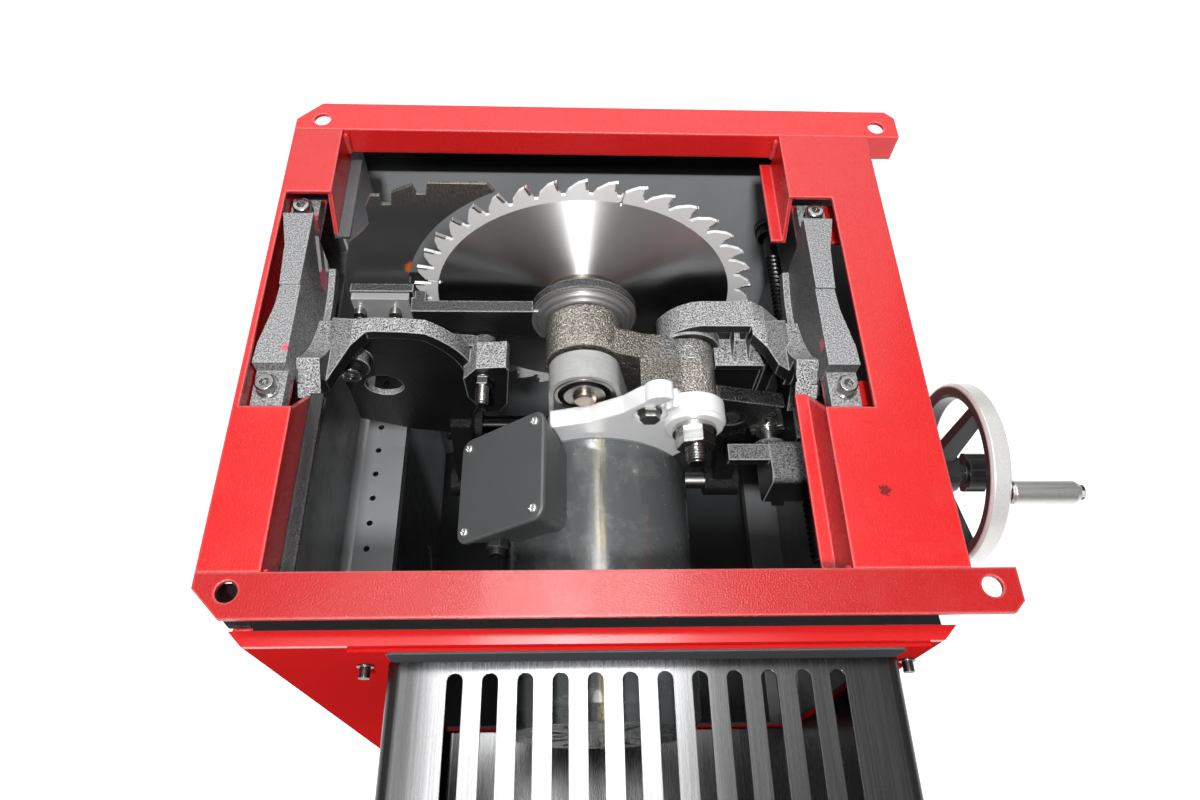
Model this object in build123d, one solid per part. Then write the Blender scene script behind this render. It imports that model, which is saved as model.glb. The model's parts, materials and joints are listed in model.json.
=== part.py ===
"""Circular saw bench with its table top off: welded cabinet, tilting cradle and saw unit.

Axes: X runs along the saw blade (minus X is the rear, plus X the front with the lift handwheel),
Y runs across it (minus Y is the motor side), Z is up. The origin is on the floor, straight below
the arbor. Millimetres.
"""
from build123d import *
from math import atan2, cos, degrees, pi, radians, sin, sqrt, tan
import os

os.makedirs("parts", exist_ok=True)

# Cabinet and top frame
TOP = 820.0                 # top face of the frame above the floor
SHEET = 3.0                 # frame sheet
PANEL = 2.0                 # cabinet sheet
FRAME_X = (-226.0, 228.0)   # outside of the frame
FRAME_Y = (-257.0, 158.0)
OPEN_X = (-189.0, 157.0)    # opening of the frame
OPEN_Y = (-229.5, 129.5)
TAB_END = 255.0             # the near and far rails run on past the front rail
CORNER = 18.0               # corner chamfer of the rails
HOLE_X = (-206.0, 238.0)    # table bolts
HOLE_Y = (-241.0, 140.0)
HOLE_R = 6.5
CHANNEL = 24.0              # height of the near and far channels
NEAR_FOOT = -247.0          # edge of the near channel's lower flange
PANEL_LIP = 9.0             # lip folded in along the top of the near panel
WEB_DROP = 35.0             # depth of the side rails' inner webs
LIP_DROP = 30.0             # depth of the side rails' outer lips
LIP = 9.0                   # inward return below the side rails' webs
NOTCH_Y = (-120.0, 64.0)    # notches for the trunnion brackets
NOTCH_LOW_Y = (-92.0, 48.0)
REAR_NOTCH_X = -222.0
FRONT_NOTCH_X = 190.0
SEAT_DEEP = 27.0            # bracket seats below the frame top
SEATS_Y = ((-125.0, -84.0), (42.0, 80.0))
POCKET_Y = (-136.0, 92.0)   # pocket of the rear rail round its bracket
POCKET_DEEP = 104.0
BODY_X = (-200.0, 212.0)    # cabinet body
BODY_Y = (-267.0, 194.0)
SHOULDER = 60.0             # the far panel leans in to the frame above this depth
PLINTH = 60.0
PLINTH_INSET = 10.0

# Saw unit
TABLE = 32.0                # thickness of the table that the frame carries
TILT_Z = TOP + TABLE        # tilt axis: blade plane at the table surface
BLADE_R = 127.0
BLADE_T = 2.4
TEETH = 40
ARBOR = (0.0, TOP - 46.6)
PIVOT = (79.0, TOP - 58.0)
MOTOR = (11.0, TOP - 148.0)
MOTOR_R = 72.0
MOTOR_Y = (-270.0, -102.0)
PULLEY_R = 22.0
MOTOR_PULLEY_R = 34.0
BELT_Y = (-84.5, -62.5)
BELT_T = 3.4
FIT = 0.05                  # running fit, radial
GAP = 0.3                   # clearance of other moving faces

# Trunnions
MID_X = -17.0               # the two trunnions mirror about this plane
RIB_R = (96.0, 106.0)
SLIDER_R = (88.0, 116.0)
SLIDER_ARC = (-52.0, -10.0)
FACE_X = -200.0             # machined face of the rear bracket
TIE_RODS = ((-56.0, TOP - 258.0), (-24.0, TOP - 205.0))
ROD_R = 8.0

# Drives
LIFT = (-115.0, TOP - 114.0)          # lift handwheel shaft, along X
WHEEL_R = 70.0
RIM_W = 11.0
RIM_H = 15.0
LIFT_WHEEL_X = 285.0
MODULE = 2.0
ADDENDUM = 0.8
PINION_TEETH = 12
QUADRANT_TEETH = 74
PINION_ANGLE = -38.3
TILT_SCREW = (193.0, TOP - 178.0)     # along Y
SCREW_R = 7.0
TILT_WHEEL_Y = 240.0
LUG_ANGLE = -22.5
NUT_PIN_R = 6.0


def save(shape, name):
    """Write one node."""
    export_step(shape, f"parts/{name}.step")


def block(x, y, z):
    """Box from its two limits on each axis."""
    size = Box(x[1] - x[0], y[1] - y[0], z[1] - z[0])
    return Pos((x[0] + x[1]) / 2, (y[0] + y[1]) / 2, (z[0] + z[1]) / 2) * size


def flat(sketch, z0, z1):
    """Sketch in X and Y, raised from z0 to z1."""
    return extrude(Plane.XY.offset(z0) * sketch, z1 - z0, dir=(0, 0, 1))


def across(sketch, y):
    """Sketch in X and Z, carried along Y between the two limits."""
    return extrude(Plane.XZ.offset(-y[1]) * sketch, y[1] - y[0], dir=(0, -1, 0))


def along(sketch, x):
    """Sketch in Y and Z, carried along X between the two limits."""
    return extrude(Plane.YZ.offset(x[0]) * sketch, x[1] - x[0], dir=(1, 0, 0))


def disc(centre, radius):
    """Circle at a point of the sketch plane."""
    return Pos(*centre) * Circle(radius)


def shape(*points):
    """Straight-sided outline, always run counter-clockwise."""
    ends = points[1:] + points[:1]
    turn = sum(a[0] * b[1] - b[0] * a[1] for a, b in zip(points, ends))
    return Polygon(*(points if turn > 0 else points[::-1]), align=None)


def level(*points):
    """Outline whose heights are counted from the frame top."""
    return shape(*[(a, TOP + b) for a, b in points])


def hexagon(centre, flats, turn=0):
    """Hexagon of a given width across flats."""
    return Pos(*centre) * Rot(0, 0, turn) * RegularPolygon(flats / 2, 6, major_radius=False)


def sector(radii, arc):
    """Ring sector about the tilt axis in Y and Z; angles run from straight down towards plus Y."""
    reach = 3 * radii[1]
    turns = [arc[0] + (arc[1] - arc[0]) * i / 4 for i in range(5)]
    wedge = [(0, 0)] + [(reach * sin(radians(a)), -reach * cos(radians(a))) for a in turns]
    ring = Circle(radii[1]) - Circle(radii[0])
    return Pos(0, TILT_Z) * (ring & shape(*wedge))


def revolve_y(points, centre):
    """Profile of radius and Y, turned about a line along Y."""
    face = make_face(Polyline(*[(r, y) for r, y in points], close=True))
    return Pos(centre[0], 0, centre[1]) * revolve(face, Axis.Y)


def rail_channel(edge, web, foot, holes):
    """Outward channel along X: top flange with the table bolt holes, inner web and lower flange."""
    out = 1 if edge > web else -1
    corner = [(FRAME_X[0], web), (FRAME_X[0], edge - out * CORNER), (FRAME_X[0] + CORNER, edge)]
    tab = [(TAB_END - 7, edge), (TAB_END, edge - out * 7), (TAB_END, web)]
    top = shape(*corner, *tab)
    for x in HOLE_X:
        top -= disc((x, holes), HOLE_R)
    rail = flat(top, TOP - SHEET, TOP)
    tab_web = TAB_END if out > 0 else BODY_X[1] + 10
    thick = sorted((web, web + out * SHEET))
    rail += block((FRAME_X[0] + CORNER, tab_web), thick, (TOP - CHANNEL, TOP - SHEET))
    lower = shape((BODY_X[0] - 12, web), (BODY_X[0] - 12, foot - out * 12), (BODY_X[0], foot),
                  (BODY_X[1], foot), (BODY_X[1] + 10, foot - out * 10), (BODY_X[1] + 10, web))
    return rail + flat(lower, TOP - CHANNEL, TOP - CHANNEL + SHEET)


def side_rail(outer, inner, notch):
    """Rail along Y: top flange, outer lip, notched inner web with its return lip, bracket seats."""
    into = 1 if inner > outer else -1
    rail = block(sorted((outer, inner)), OPEN_Y, (TOP - SHEET, TOP))
    rail -= block(sorted((notch, inner + into)), NOTCH_Y, (TOP - 2 * SHEET, TOP + 1))
    rail += block(sorted((outer, outer + into * SHEET)), OPEN_Y, (TOP - LIP_DROP, TOP - SHEET))
    for end, top_end, low_end in zip(OPEN_Y, NOTCH_Y, NOTCH_LOW_Y):
        web = level((end, -SHEET), (top_end, -SHEET), (low_end, -WEB_DROP), (end, -WEB_DROP))
        rail += along(web, sorted((inner, inner - into * SHEET)))
        rail += block(sorted((inner, inner + into * LIP)), sorted((end, low_end)),
                      (TOP - WEB_DROP, TOP - WEB_DROP + SHEET))
    seat_x = sorted((outer, FACE_X - 1 if into > 0 else 2 * MID_X - FACE_X + 1))
    for seat in SEATS_Y:
        rail += block(seat_x, seat, (TOP - LIP_DROP, TOP - SEAT_DEEP))
    return rail


def bracket_pocket():
    """Folded pocket below the rear rail, open to the cabinet, in which the rear bracket hangs."""
    x = (FRAME_X[0], BODY_X[0])
    pocket = block(x, POCKET_Y, (TOP - POCKET_DEEP, TOP - LIP_DROP))
    room_y = (POCKET_Y[0] + SHEET, POCKET_Y[1] - SHEET)
    return pocket - block((x[0] + SHEET, x[1] + 1), room_y, (TOP - POCKET_DEEP + SHEET, TOP))


def top_frame():
    """Four rails, welded where they meet."""
    near = rail_channel(FRAME_Y[0], OPEN_Y[0], NEAR_FOOT, HOLE_Y[0])
    # Corner plate that closes the near channel towards the rear
    reach = FRAME_Y[0] + 1
    plate = shape((FRAME_X[0] + 4, OPEN_Y[0]), (FRAME_X[0] + 4, reach + 13), (BODY_X[0] - PANEL_LIP, reach),
                  (BODY_X[0] + 4, reach), (BODY_X[0] + 4, OPEN_Y[0]))
    save(near + flat(plate, TOP - CHANNEL, TOP - CHANNEL + SHEET), "near_rail")
    save(rail_channel(FRAME_Y[1], OPEN_Y[1], FRAME_Y[1], HOLE_Y[1]), "far_rail")
    save(side_rail(FRAME_X[0], OPEN_X[0], REAR_NOTCH_X) + bracket_pocket(), "rear_rail")
    save(side_rail(FRAME_X[1], OPEN_X[1], FRONT_NOTCH_X), "front_rail")


DOOR_X = (-141.0, 206.0)
DOOR_Z = (TOP - 350, TOP - 28)
COVER_X = (-122.0, 195.0)
COVER_Z = (TOP - 332, TOP - 50)
COVER_DEEP = 106.0
MOTOR_HOLE_X = (-118.0, 190.0)
MOTOR_HOLE_Z = (TOP - 325, TOP - 46)
DUST_FLOOR_Z = (110.0, 400.0)
PORT = (-36.0, 190.0)
PORT_R = 50.0


def cabinet_body():
    """Folded panels on a welded toe-kick plinth, with the sloping dust floor and its outlet."""
    tall = (PLINTH, TOP - CHANNEL)
    near = block(BODY_X, (BODY_Y[0], BODY_Y[0] + PANEL), tall)
    near -= block(MOTOR_HOLE_X, (BODY_Y[0] - 1, BODY_Y[0] + PANEL + 1), MOTOR_HOLE_Z)
    lip_y = BODY_Y[0] + PANEL_LIP
    lip = shape((BODY_X[0], BODY_Y[0]), (BODY_X[1], BODY_Y[0]), (BODY_X[1] + PANEL_LIP, lip_y),
                (BODY_X[0] - PANEL_LIP, lip_y))
    near += flat(lip, TOP - CHANNEL, TOP - CHANNEL + SHEET)
    save(near, "near_panel")
    inner_y = (BODY_Y[0] + PANEL, BODY_Y[1] - PANEL)
    lean = PANEL * sqrt(2)
    shoulder = [(inner_y[1], PLINTH), (inner_y[1], TOP - SHOULDER - lean + PANEL),
                (FRAME_Y[1] - lean, TOP - CHANNEL)]
    outer = [(FRAME_Y[1], TOP - CHANNEL), (BODY_Y[1], TOP - SHOULDER), (BODY_Y[1], PLINTH)]
    far = along(shape(*shoulder, *outer), BODY_X)
    far -= across(disc(TILT_SCREW, 14), (BODY_Y[1] - 2 * PANEL, BODY_Y[1] + 1))
    save(far, "far_panel")
    side = shape((inner_y[0], PLINTH), *shoulder, (inner_y[0], TOP - CHANNEL))
    rear = along(side, (BODY_X[0], BODY_X[0] + PANEL))
    rear -= block((BODY_X[0] - 1, BODY_X[0] + PANEL + 1), (-128, 84), (TOP - 95, TOP))
    rear -= along(disc(PORT, PORT_R - 2), (BODY_X[0] - 1, BODY_X[0] + PANEL + 1))
    save(rear, "rear_panel")
    front = along(side, (BODY_X[1] - PANEL, BODY_X[1]))
    swing = sqrt(LIFT[0] ** 2 + (TILT_Z - LIFT[1]) ** 2)
    start = degrees(atan2(LIFT[0], TILT_Z - LIFT[1]))
    slot = sector((swing - 13, swing + 13), (start - 5, start + 50))
    front -= along(slot, (BODY_X[1] - 2 * PANEL, BODY_X[1] + 1))
    front -= block((BODY_X[1] - 2 * PANEL, BODY_X[1] + 1), (-130, 88), (TOP - 33, TOP))
    save(front, "front_panel")

    in_x = (BODY_X[0] + PLINTH_INSET, BODY_X[1] - PLINTH_INSET)
    in_y = (BODY_Y[0] + PLINTH_INSET, BODY_Y[1] - PLINTH_INSET)
    within_x = (in_x[0] + SHEET, in_x[1] - SHEET)
    within_y = (in_y[0] + SHEET, in_y[1] - SHEET)
    rim_z = (PLINTH - SHEET, PLINTH)
    floor = block(within_x, within_y, (0, SHEET))
    for x in (in_x[0] + 30, in_x[1] - 30):
        for y in (in_y[0] + 30, in_y[1] - 30):
            floor -= Pos(x, y, 0) * Cylinder(5.5, 4 * SHEET)
    plinth = [floor]
    for side, edge, outside in zip(in_y, within_y, BODY_Y):
        plinth.append(block(in_x, sorted((side, edge)), (0, PLINTH)) +
                      block(BODY_X, sorted((outside, edge)), rim_z))
    for side, edge, outside in zip(in_x, within_x, BODY_X):
        plinth.append(block(sorted((side, edge)), within_y, (0, PLINTH)) +
                      block(sorted((outside, edge)), within_y, rim_z))
    save(Compound(plinth), "base_plinth")

    low, high = (BODY_X[0] + PANEL, DUST_FLOOR_Z[0]), (BODY_X[1] - PANEL, DUST_FLOOR_Z[1])
    slope = shape(low, high, (high[0], high[1] + PANEL), (low[0], low[1] + PANEL))
    save(across(slope, inner_y), "dust_floor")
    flange = along(RectangleRounded(132, 132, 10), (BODY_X[0] - SHEET, BODY_X[0]))
    flange = Pos(0, PORT[0], PORT[1]) * flange
    spout = along(disc(PORT, PORT_R), (BODY_X[0] - 60, BODY_X[0] - SHEET))
    bore = along(disc(PORT, PORT_R - 2), (BODY_X[0] - 61, BODY_X[0] + 1))
    save(flange + spout - bore, "dust_outlet")


LEDGE_DEEP = 205.0
FRONT_LEDGE_DEEP = 350.0
LEDGE_W = 41.0
FRONT_LEDGE_W = 32.0
LEDGE_LIP = 14.0


def inner_ledges():
    """Folded stiffeners along the rear and front panels; the rear one has a row of holes."""
    y = (BODY_Y[0] + PANEL, 150)
    z = (TOP - LEDGE_DEEP - PANEL, TOP - LEDGE_DEEP)
    rear = block((BODY_X[0] + PANEL, BODY_X[0] + PANEL + LEDGE_W), y, z)
    edge = BODY_X[0] + PANEL + LEDGE_W
    rear += block((edge - PANEL, edge), y, (z[0] - LEDGE_LIP, z[1]))
    for i in range(9):
        rear -= Pos(BODY_X[0] + PANEL + 18, -165 + 23 * i, z[1]) * Cylinder(2.6, 8)
    z = (TOP - FRONT_LEDGE_DEEP - PANEL, TOP - FRONT_LEDGE_DEEP)
    edge = BODY_X[1] - PANEL - FRONT_LEDGE_W
    front = block((edge, BODY_X[1] - PANEL), y, z)
    front += block((edge, edge + PANEL), y, (z[0] - LEDGE_LIP, z[1]))
    save(Compound([rear, front]), "inner_ledges")


def motor_door():
    """Door plate with the slotted cover box that takes the motor's tail, held by four screws."""
    y = (BODY_Y[0] - PANEL, BODY_Y[0])
    door = block(DOOR_X, y, DOOR_Z)
    door -= block(MOTOR_HOLE_X, (y[0] - 1, y[1] + 1), MOTOR_HOLE_Z)
    save(door, "motor_door")
    back, face = y[0], y[0] - COVER_DEEP
    cover = block(COVER_X, (face, back), COVER_Z)
    cover = fillet(cover.edges().filter_by(Axis.Y), 9)
    cover = fillet(cover.faces().sort_by(Axis.Y)[0].edges(), 5)
    wall = 2.0
    inside = block((COVER_X[0] + wall, COVER_X[1] - wall), (face + wall, back + 1),
                   (COVER_Z[0] + wall, COVER_Z[1] - wall))
    inside = fillet(inside.edges().filter_by(Axis.Y), 7)
    cover -= inside
    for i in range(12):
        slot = Pos(-80 + 21.2 * i, (face + back) / 2 + 4) * SlotOverall(COVER_DEEP - 24, 9.6, rotation=90)
        cover -= flat(slot, COVER_Z[1] - 3 * wall, COVER_Z[1] + 1)
    save(cover, "motor_cover")
    screws = []
    for x in (DOOR_X[0] + 4, DOOR_X[1] - 3):
        for z in (DOOR_Z[0] + 20, DOOR_Z[1] - 34):
            collar, end = y[0] - 1.2, y[0] - 8
            head = [(0, y[0]), (5.2, y[0]), (5.2, collar), (3.5, collar), (3.5, end), (0, end)]
            screws.append(revolve_y(head, (x, z)))
    save(Compound(screws), "door_screws")


BRACKET_SCREWS = ((-212.0, 57.0), (-212.0, -98.0))
FOOT_TOP = TOP - 16.0


def bracket():
    """Cast rear bracket: two feet, waisted body, guide wall and the arc rib that carries the slider."""
    feet = [((-222, FACE_X - 1), (43, 70)), ((-222, FACE_X - 1), (-113, -82))]
    far_half = shape((-222, 45), (FACE_X, 45), (FACE_X, -20), (-214, -20), (-216, 15))
    near_half = shape((-214, -20), (FACE_X, -20), (FACE_X, -84), (-222, -84), (-221, -68), (-215, -38))
    cast = flat(far_half, TOP - SEAT_DEEP, TOP - 3)
    cast += flat(near_half, TOP - SEAT_DEEP, TOP - 5)
    for x, y in feet:
        cast += block(x, y, (TOP - SEAT_DEEP, FOOT_TOP))
    wall = disc((0, TILT_Z), RIB_R[1] + 12) & level((-80, -20), (38, -20), (38, -150), (-80, -150))
    cast += along(wall, (-212, FACE_X))
    cast += along(sector(RIB_R, (-50, 22)), (FACE_X, FACE_X + 5))
    for x, y in BRACKET_SCREWS:
        cast -= Pos(x, y, TOP - SEAT_DEEP) * Cylinder(4.5, 60)
    return cast


def socket_screw(x, y, seat, shank_end, thread_r):
    """Socket-head screw with its washer, pointing down."""
    washer = Pos(x, y, seat + 0.8) * Cylinder(1.9 * thread_r, 1.6)
    head = Pos(x, y, seat + 1.6 + thread_r) * Cylinder(1.62 * thread_r, 2 * thread_r)
    head = chamfer(head.edges().group_by(Axis.Z)[-1], 0.8)
    head -= flat(hexagon((x, y), 1.5 * thread_r), seat + 1.6 + thread_r, seat + 2 + 2 * thread_r)
    shank = Pos(x, y, (seat + 1.6 + shank_end) / 2) * Cylinder(thread_r, seat + 1.6 - shank_end)
    return washer + head + shank


def other_end(part):
    """Mirror image at the front trunnion."""
    return mirror(part, about=Plane.YZ.offset(MID_X))


def trunnion_brackets():
    """Both brackets and their screws."""
    rear = bracket()
    save(rear, "rear_bracket")
    save(other_end(rear), "front_bracket")
    screws = [socket_screw(x, y, FOOT_TOP, TOP - SEAT_DEEP, 4.0) for x, y in BRACKET_SCREWS]
    screws += [other_end(s) for s in screws]
    save(Compound(screws), "bracket_screws")


def slider():
    """Rear slider: arc block with the groove that rides on the bracket's rib."""
    body = along(sector(SLIDER_R, SLIDER_ARC), (FACE_X + GAP, -184))
    groove = sector((RIB_R[0] - GAP, RIB_R[1] + GAP), (SLIDER_ARC[0] - 2, SLIDER_ARC[1] + 2))
    return body - along(groove, (FACE_X, FACE_X + 5.5))


def flare(band):
    """Rim that spreads from the casting's plate to the slider's length."""
    spread = shape((-188, -80), (-188, -18), (-166, -33), (-156, -33), (-156, -45))
    return flat(spread, TOP - 120, TOP) & across(level(*band), (-100, 0))


LINK_PIN = (-76.0, TOP - 72.0)
REAR_PLATE_Y = (-45.0, -33.0)
LUG_FACE = -56.0
LEG_X = (-120.0, -88.0)
FLARE = ((-189, -48), (-184, -43), (-166, -27), (-150, -25), (-150, -37), (-166, -40), (-189, -62))


def tie_leg(x, y, top):
    """Leg from a casting's plate to its two bored tie-rod bosses."""
    low, high = TIE_RODS
    thick = (x[0] + 7, x[1] - 7)
    outline = shape((y[0], top), (y[1], top), (y[1], high[1]), (low[0] + 9, low[1]), (low[0] - 9, low[1]))
    leg = along(outline, thick)
    for rod in TIE_RODS:
        leg += along(disc(rod, ROD_R + 6), x)
    for rod in TIE_RODS:
        leg -= along(disc(rod, ROD_R), x)
    return leg


def rear_trunnion():
    """Rear cradle casting: slider, flared rim, recessed web with a boss and a hole, stop lug, leg."""
    with BuildSketch() as outline:
        with BuildLine():
            Polyline((-83, -77), (-78, -123), (-107, -195), (-148, -186), (-189, -167), (-189, -62),
                     (-184, -43), (-166, -27), (-150, -25), (-130, -26), (-115, -28))
            ThreePointArc((-115, -28), (-95, -48), (-83, -77))
        make_face()
    face = Pos(0, TOP) * outline.sketch
    cast = across(face, (REAR_PLATE_Y[1] - 5, REAR_PLATE_Y[1]))
    top_edge = level((-200, 0), (-60, 0), (-60, -100), (-110, -100), (-110, -66), (-200, -66))
    cast += across((face - offset(face, amount=-9)) & top_edge, REAR_PLATE_Y)
    cast += flare(FLARE) + slider()
    cast += across(disc((-175, TOP - 69), 14), (REAR_PLATE_Y[0] - 3, REAR_PLATE_Y[1]))
    cast -= across(disc((-159, TOP - 112), 15), (-60, -20))
    lug = level((-80, -57), (-58, -55), (-56, -60), (-60, -110), (-66, -122), (-78, -124), (-90, -100),
                (-91, -72))
    cast += across(lug, (LUG_FACE, REAR_PLATE_Y[1]))
    cast += tie_leg(LEG_X, REAR_PLATE_Y, TOP - 170)
    cast -= across(disc(LINK_PIN, 5), (-70, -20))
    save(cast, "rear_trunnion")
    washer = LUG_FACE - 1.5
    bolt = across(disc(LINK_PIN, 5), (LUG_FACE, -21.3)) + across(disc(LINK_PIN, 8.5), (washer, LUG_FACE))
    bolt += across(hexagon(LINK_PIN, 13), (washer - 6, washer))
    save(bolt, "link_bolt")


FRONT_PLATE_Y = (-38.0, -16.0)
FRONT_LEG_X = (118.0, 150.0)
LUG_X = (162.0, 172.0)


def front_trunnion():
    """Front cradle casting: slider, arched rim, pivot boss, shelf with a rib, tilt fork, leg."""
    with BuildSketch() as outline:
        with BuildLine():
            Polyline((124, -26), (134, -33), (152, -53), (152, -165), (122, -185), (108, -150), (72, -94),
                     (58, -82), (55, -58))
            ThreePointArc((55, -58), (64, -38), (86, -26))
            Line((86, -26), (124, -26))
        make_face()
    face = Pos(0, TOP) * outline.sketch
    cast = across(face, (-32, -22))
    cast += across(face - offset(face, amount=-9), FRONT_PLATE_Y)
    cast += across(disc(PIVOT, 24), (FRONT_PLATE_Y[0] - 1.7, FRONT_PLATE_Y[1]))
    cast += other_end(flare(FLARE)) + other_end(slider())
    # Clearance for the arm's gear quadrant
    tip_r = QUADRANT_TEETH * MODULE / 2 + ADDENDUM * MODULE
    cast -= across(disc(PIVOT, tip_r + 1), (QUADRANT_Y[0] - 4, QUADRANT_Y[1] + 0.7))
    root = FRONT_PLATE_Y[0] + 7
    shelf = flat(shape((98, -55), (135, -55), (131, -42), (131, root), (98, root)), TOP - 59, TOP - 53)
    for x in (111, 123):
        rib = shape((root, TOP - 36), (FRONT_PLATE_Y[0] - 4, TOP - 38), (-53, TOP - 55), (root, TOP - 55))
        shelf += along(rib, (x, x + 4))
    cast += shelf
    # Tilt fork: radial arm with an open slot for the nut's pin, and the wall that carries the gearbox
    spread = (LUG_ANGLE - 10, LUG_ANGLE + 10)
    cast += along(sector((SLIDER_R[1] - 6, 140), spread), (157, 165.5))
    cast += along(sector((124, 140), spread), (157, LUG_X[1]))
    fork = Pos(0, -185) * Rectangle(42, 118) - Pos(0, -232) * SlotOverall(68, 17.4, rotation=90)
    cast += along(Pos(0, TILT_Z) * Rot(0, 0, LUG_ANGLE) * fork, LUG_X)
    cast += block((LUG_X[0] - 1, LUG_X[1] - 2), (GEARBOX_Y[1], -36), GEARBOX_Z)
    cast += tie_leg(FRONT_LEG_X, (-32, -22), TOP - 150)
    cast -= across(disc(PIVOT, 10), (-60, 0))
    save(cast, "front_trunnion")
    save(Compound([along(disc(rod, ROD_R), (LEG_X[0], FRONT_LEG_X[1])) for rod in TIE_RODS]), "tie_rods")


GEARBOX_X = (139.0, 170.0)
GEARBOX_Y = (-135.0, -100.0)
GEARBOX_Z = (TOP - 129, TOP - 84)
PINION = (PIVOT[0] + (QUADRANT_TEETH + PINION_TEETH) * MODULE / 2 * cos(radians(PINION_ANGLE)),
          PIVOT[1] + (QUADRANT_TEETH + PINION_TEETH) * MODULE / 2 * sin(radians(PINION_ANGLE)))
QUADRANT_Y = (-78.0, -66.0)


def gear_outline(teeth, first, last, turn):
    """Trapezoid teeth on a pitch circle, thinned for backlash; whole ring where the range is full."""
    pitch_r = teeth * MODULE / 2
    step = 360 / teeth
    half = 0.21 * 2 * pi * pitch_r / teeth
    gear = Circle(pitch_r - 1.25 * MODULE)
    for i in range(first, last):
        low, high = half * 1.55, half * 0.6
        root, tip = pitch_r - 1.6 * MODULE, pitch_r + ADDENDUM * MODULE
        tooth = shape((root, -low), (tip, -high), (tip, high), (root, low))
        gear += Rot(0, 0, turn + i * step) * tooth
    return gear


def lift_gearbox():
    """Closed gearbox on the cradle, its side ledge and the pinion that drives the arm's quadrant."""
    box_ = block(GEARBOX_X, GEARBOX_Y, GEARBOX_Z)
    box_ = fillet(box_.edges().filter_by(Axis.X), 7)
    box_ += block((108, GEARBOX_X[0] + 2), (-117, -104), (TOP - 94, TOP - 86))
    box_ += along(disc(LIFT, 13), (GEARBOX_X[1], GEARBOX_X[1] + 10))
    box_ -= along(disc(LIFT, 8 + FIT), (GEARBOX_X[1] - 20, GEARBOX_X[1] + 20))
    box_ += across(disc(PINION, 12), (GEARBOX_Y[1], GEARBOX_Y[1] + 8))
    box_ -= across(disc(PINION, 7 + FIT), (GEARBOX_Y[1] - 5.5, GEARBOX_Y[1] + 10))
    save(box_, "lift_gearbox")
    teeth = gear_outline(PINION_TEETH, 0, PINION_TEETH, PINION_ANGLE + 180 + 180 / PINION_TEETH)
    pinion = across(Pos(*PINION) * teeth, (QUADRANT_Y[0] - 1, QUADRANT_Y[1] + 1))
    pinion += across(disc(PINION, 7), (GEARBOX_Y[1] - 5, QUADRANT_Y[1] + 1))
    save(pinion, "lift_pinion")


ARM_Y = (-88.0, -40.0)
HOUSING_R = 28.5
NOSE_R = 27.0
BEARING_R = 21.0
BEARINGS_Y = ((-24.0, -12.0), (-58.0, -46.0))


def raising_arm():
    """Brown casting: arbor housing with a journal nose, web, pivot boss and gear quadrant."""
    cast = across(disc(ARBOR, HOUSING_R), (-60, -25)) + across(disc(ARBOR, NOSE_R), (-26, -10.5))
    cast += across(level((10, -24), (44, -36), (80, -40), (80, -76), (44, -74), (10, -70)), (-60, -38.5))
    cast += across(level((40, -36), (80, -40), (80, -76), (40, -70)), (ARM_Y[0], -60))
    cast -= across(disc(PIVOT, 26), (ARM_Y[1] - 0.3, -30))
    cast += across(disc(PIVOT, 18.5), ARM_Y)
    step = 360 / QUADRANT_TEETH
    first = round((PINION_ANGLE - 45) / step)
    last = round((PINION_ANGLE + 22) / step)
    turn = PINION_ANGLE - round(PINION_ANGLE / step) * step
    teeth = gear_outline(QUADRANT_TEETH, first, last + 1, turn)
    reach = 2 * QUADRANT_TEETH * MODULE
    turns = [PINION_ANGLE - 47.5 + 72 * i / 3 for i in range(4)]
    wedge = [(0, 0)] + [(reach * cos(radians(a)), reach * sin(radians(a))) for a in turns]
    quadrant = (teeth & shape(*wedge)) - Pos(36, -36) * Circle(11)
    cast += across(Pos(*PIVOT) * quadrant, QUADRANT_Y)
    cast -= across(disc(ARBOR, BEARING_R), (-24, 0)) + across(disc(ARBOR, BEARING_R), (-62, -46))
    cast -= across(disc(ARBOR, 17), (-50, -20))
    cast -= across(disc(PIVOT, 10 + FIT), (-100, -30))
    cast -= across(disc(TENSION, 4), (-100, -70))
    save(cast, "raising_arm")
    rings = [across(disc(ARBOR, BEARING_R) - disc(ARBOR, 10), y) for y in BEARINGS_Y]
    save(Compound(rings), "arbor_bearings")


def pivot_parts():
    """Pivot shaft held in the front trunnion, with its washer and lock nut."""
    shaft = across(disc(PIVOT, 10), (-110, FRONT_PLATE_Y[1])) + across(disc(PIVOT, 8), (-134, -110))
    save(shaft, "pivot_shaft")
    nut = across(hexagon(PIVOT, 24, 15) - disc(PIVOT, 8), (-121, -110))
    nut += across(disc(PIVOT, 16) - disc(PIVOT, 8), (-110, -106.4))
    save(nut - across(disc(PIVOT, 10), (-110, -100)), "pivot_nut")


def arbor_parts():
    """Spindle with its fixed flange, outer flange, nut, blade and belt pulley."""
    seat_r = 10 - FIT
    profile = [(0, -90), (7, -90), (8.5, -88.5), (8.5, -60.5), (seat_r, -60.5), (seat_r, -10), (36, -10),
               (36, -6), (33, -BLADE_T / 2), (7.9, -BLADE_T / 2), (7.9, 26), (0, 26)]
    save(revolve_y(profile, ARBOR), "arbor")
    flange = [(8, BLADE_T / 2), (32, BLADE_T / 2), (32, 4), (24, 8), (8, 8)]
    save(revolve_y(flange, ARBOR), "outer_flange")
    save(across(hexagon(ARBOR, 24) - disc(ARBOR, 7.95), (8, 20)), "arbor_nut")
    pulley = [(8.5, -86), (15, -86), (15, -74), (19.5, -74), (19.5, -85), (PULLEY_R, -85), (PULLEY_R, -62),
              (8.5, -62)]
    save(revolve_y(pulley, ARBOR), "arbor_pulley")


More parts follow.
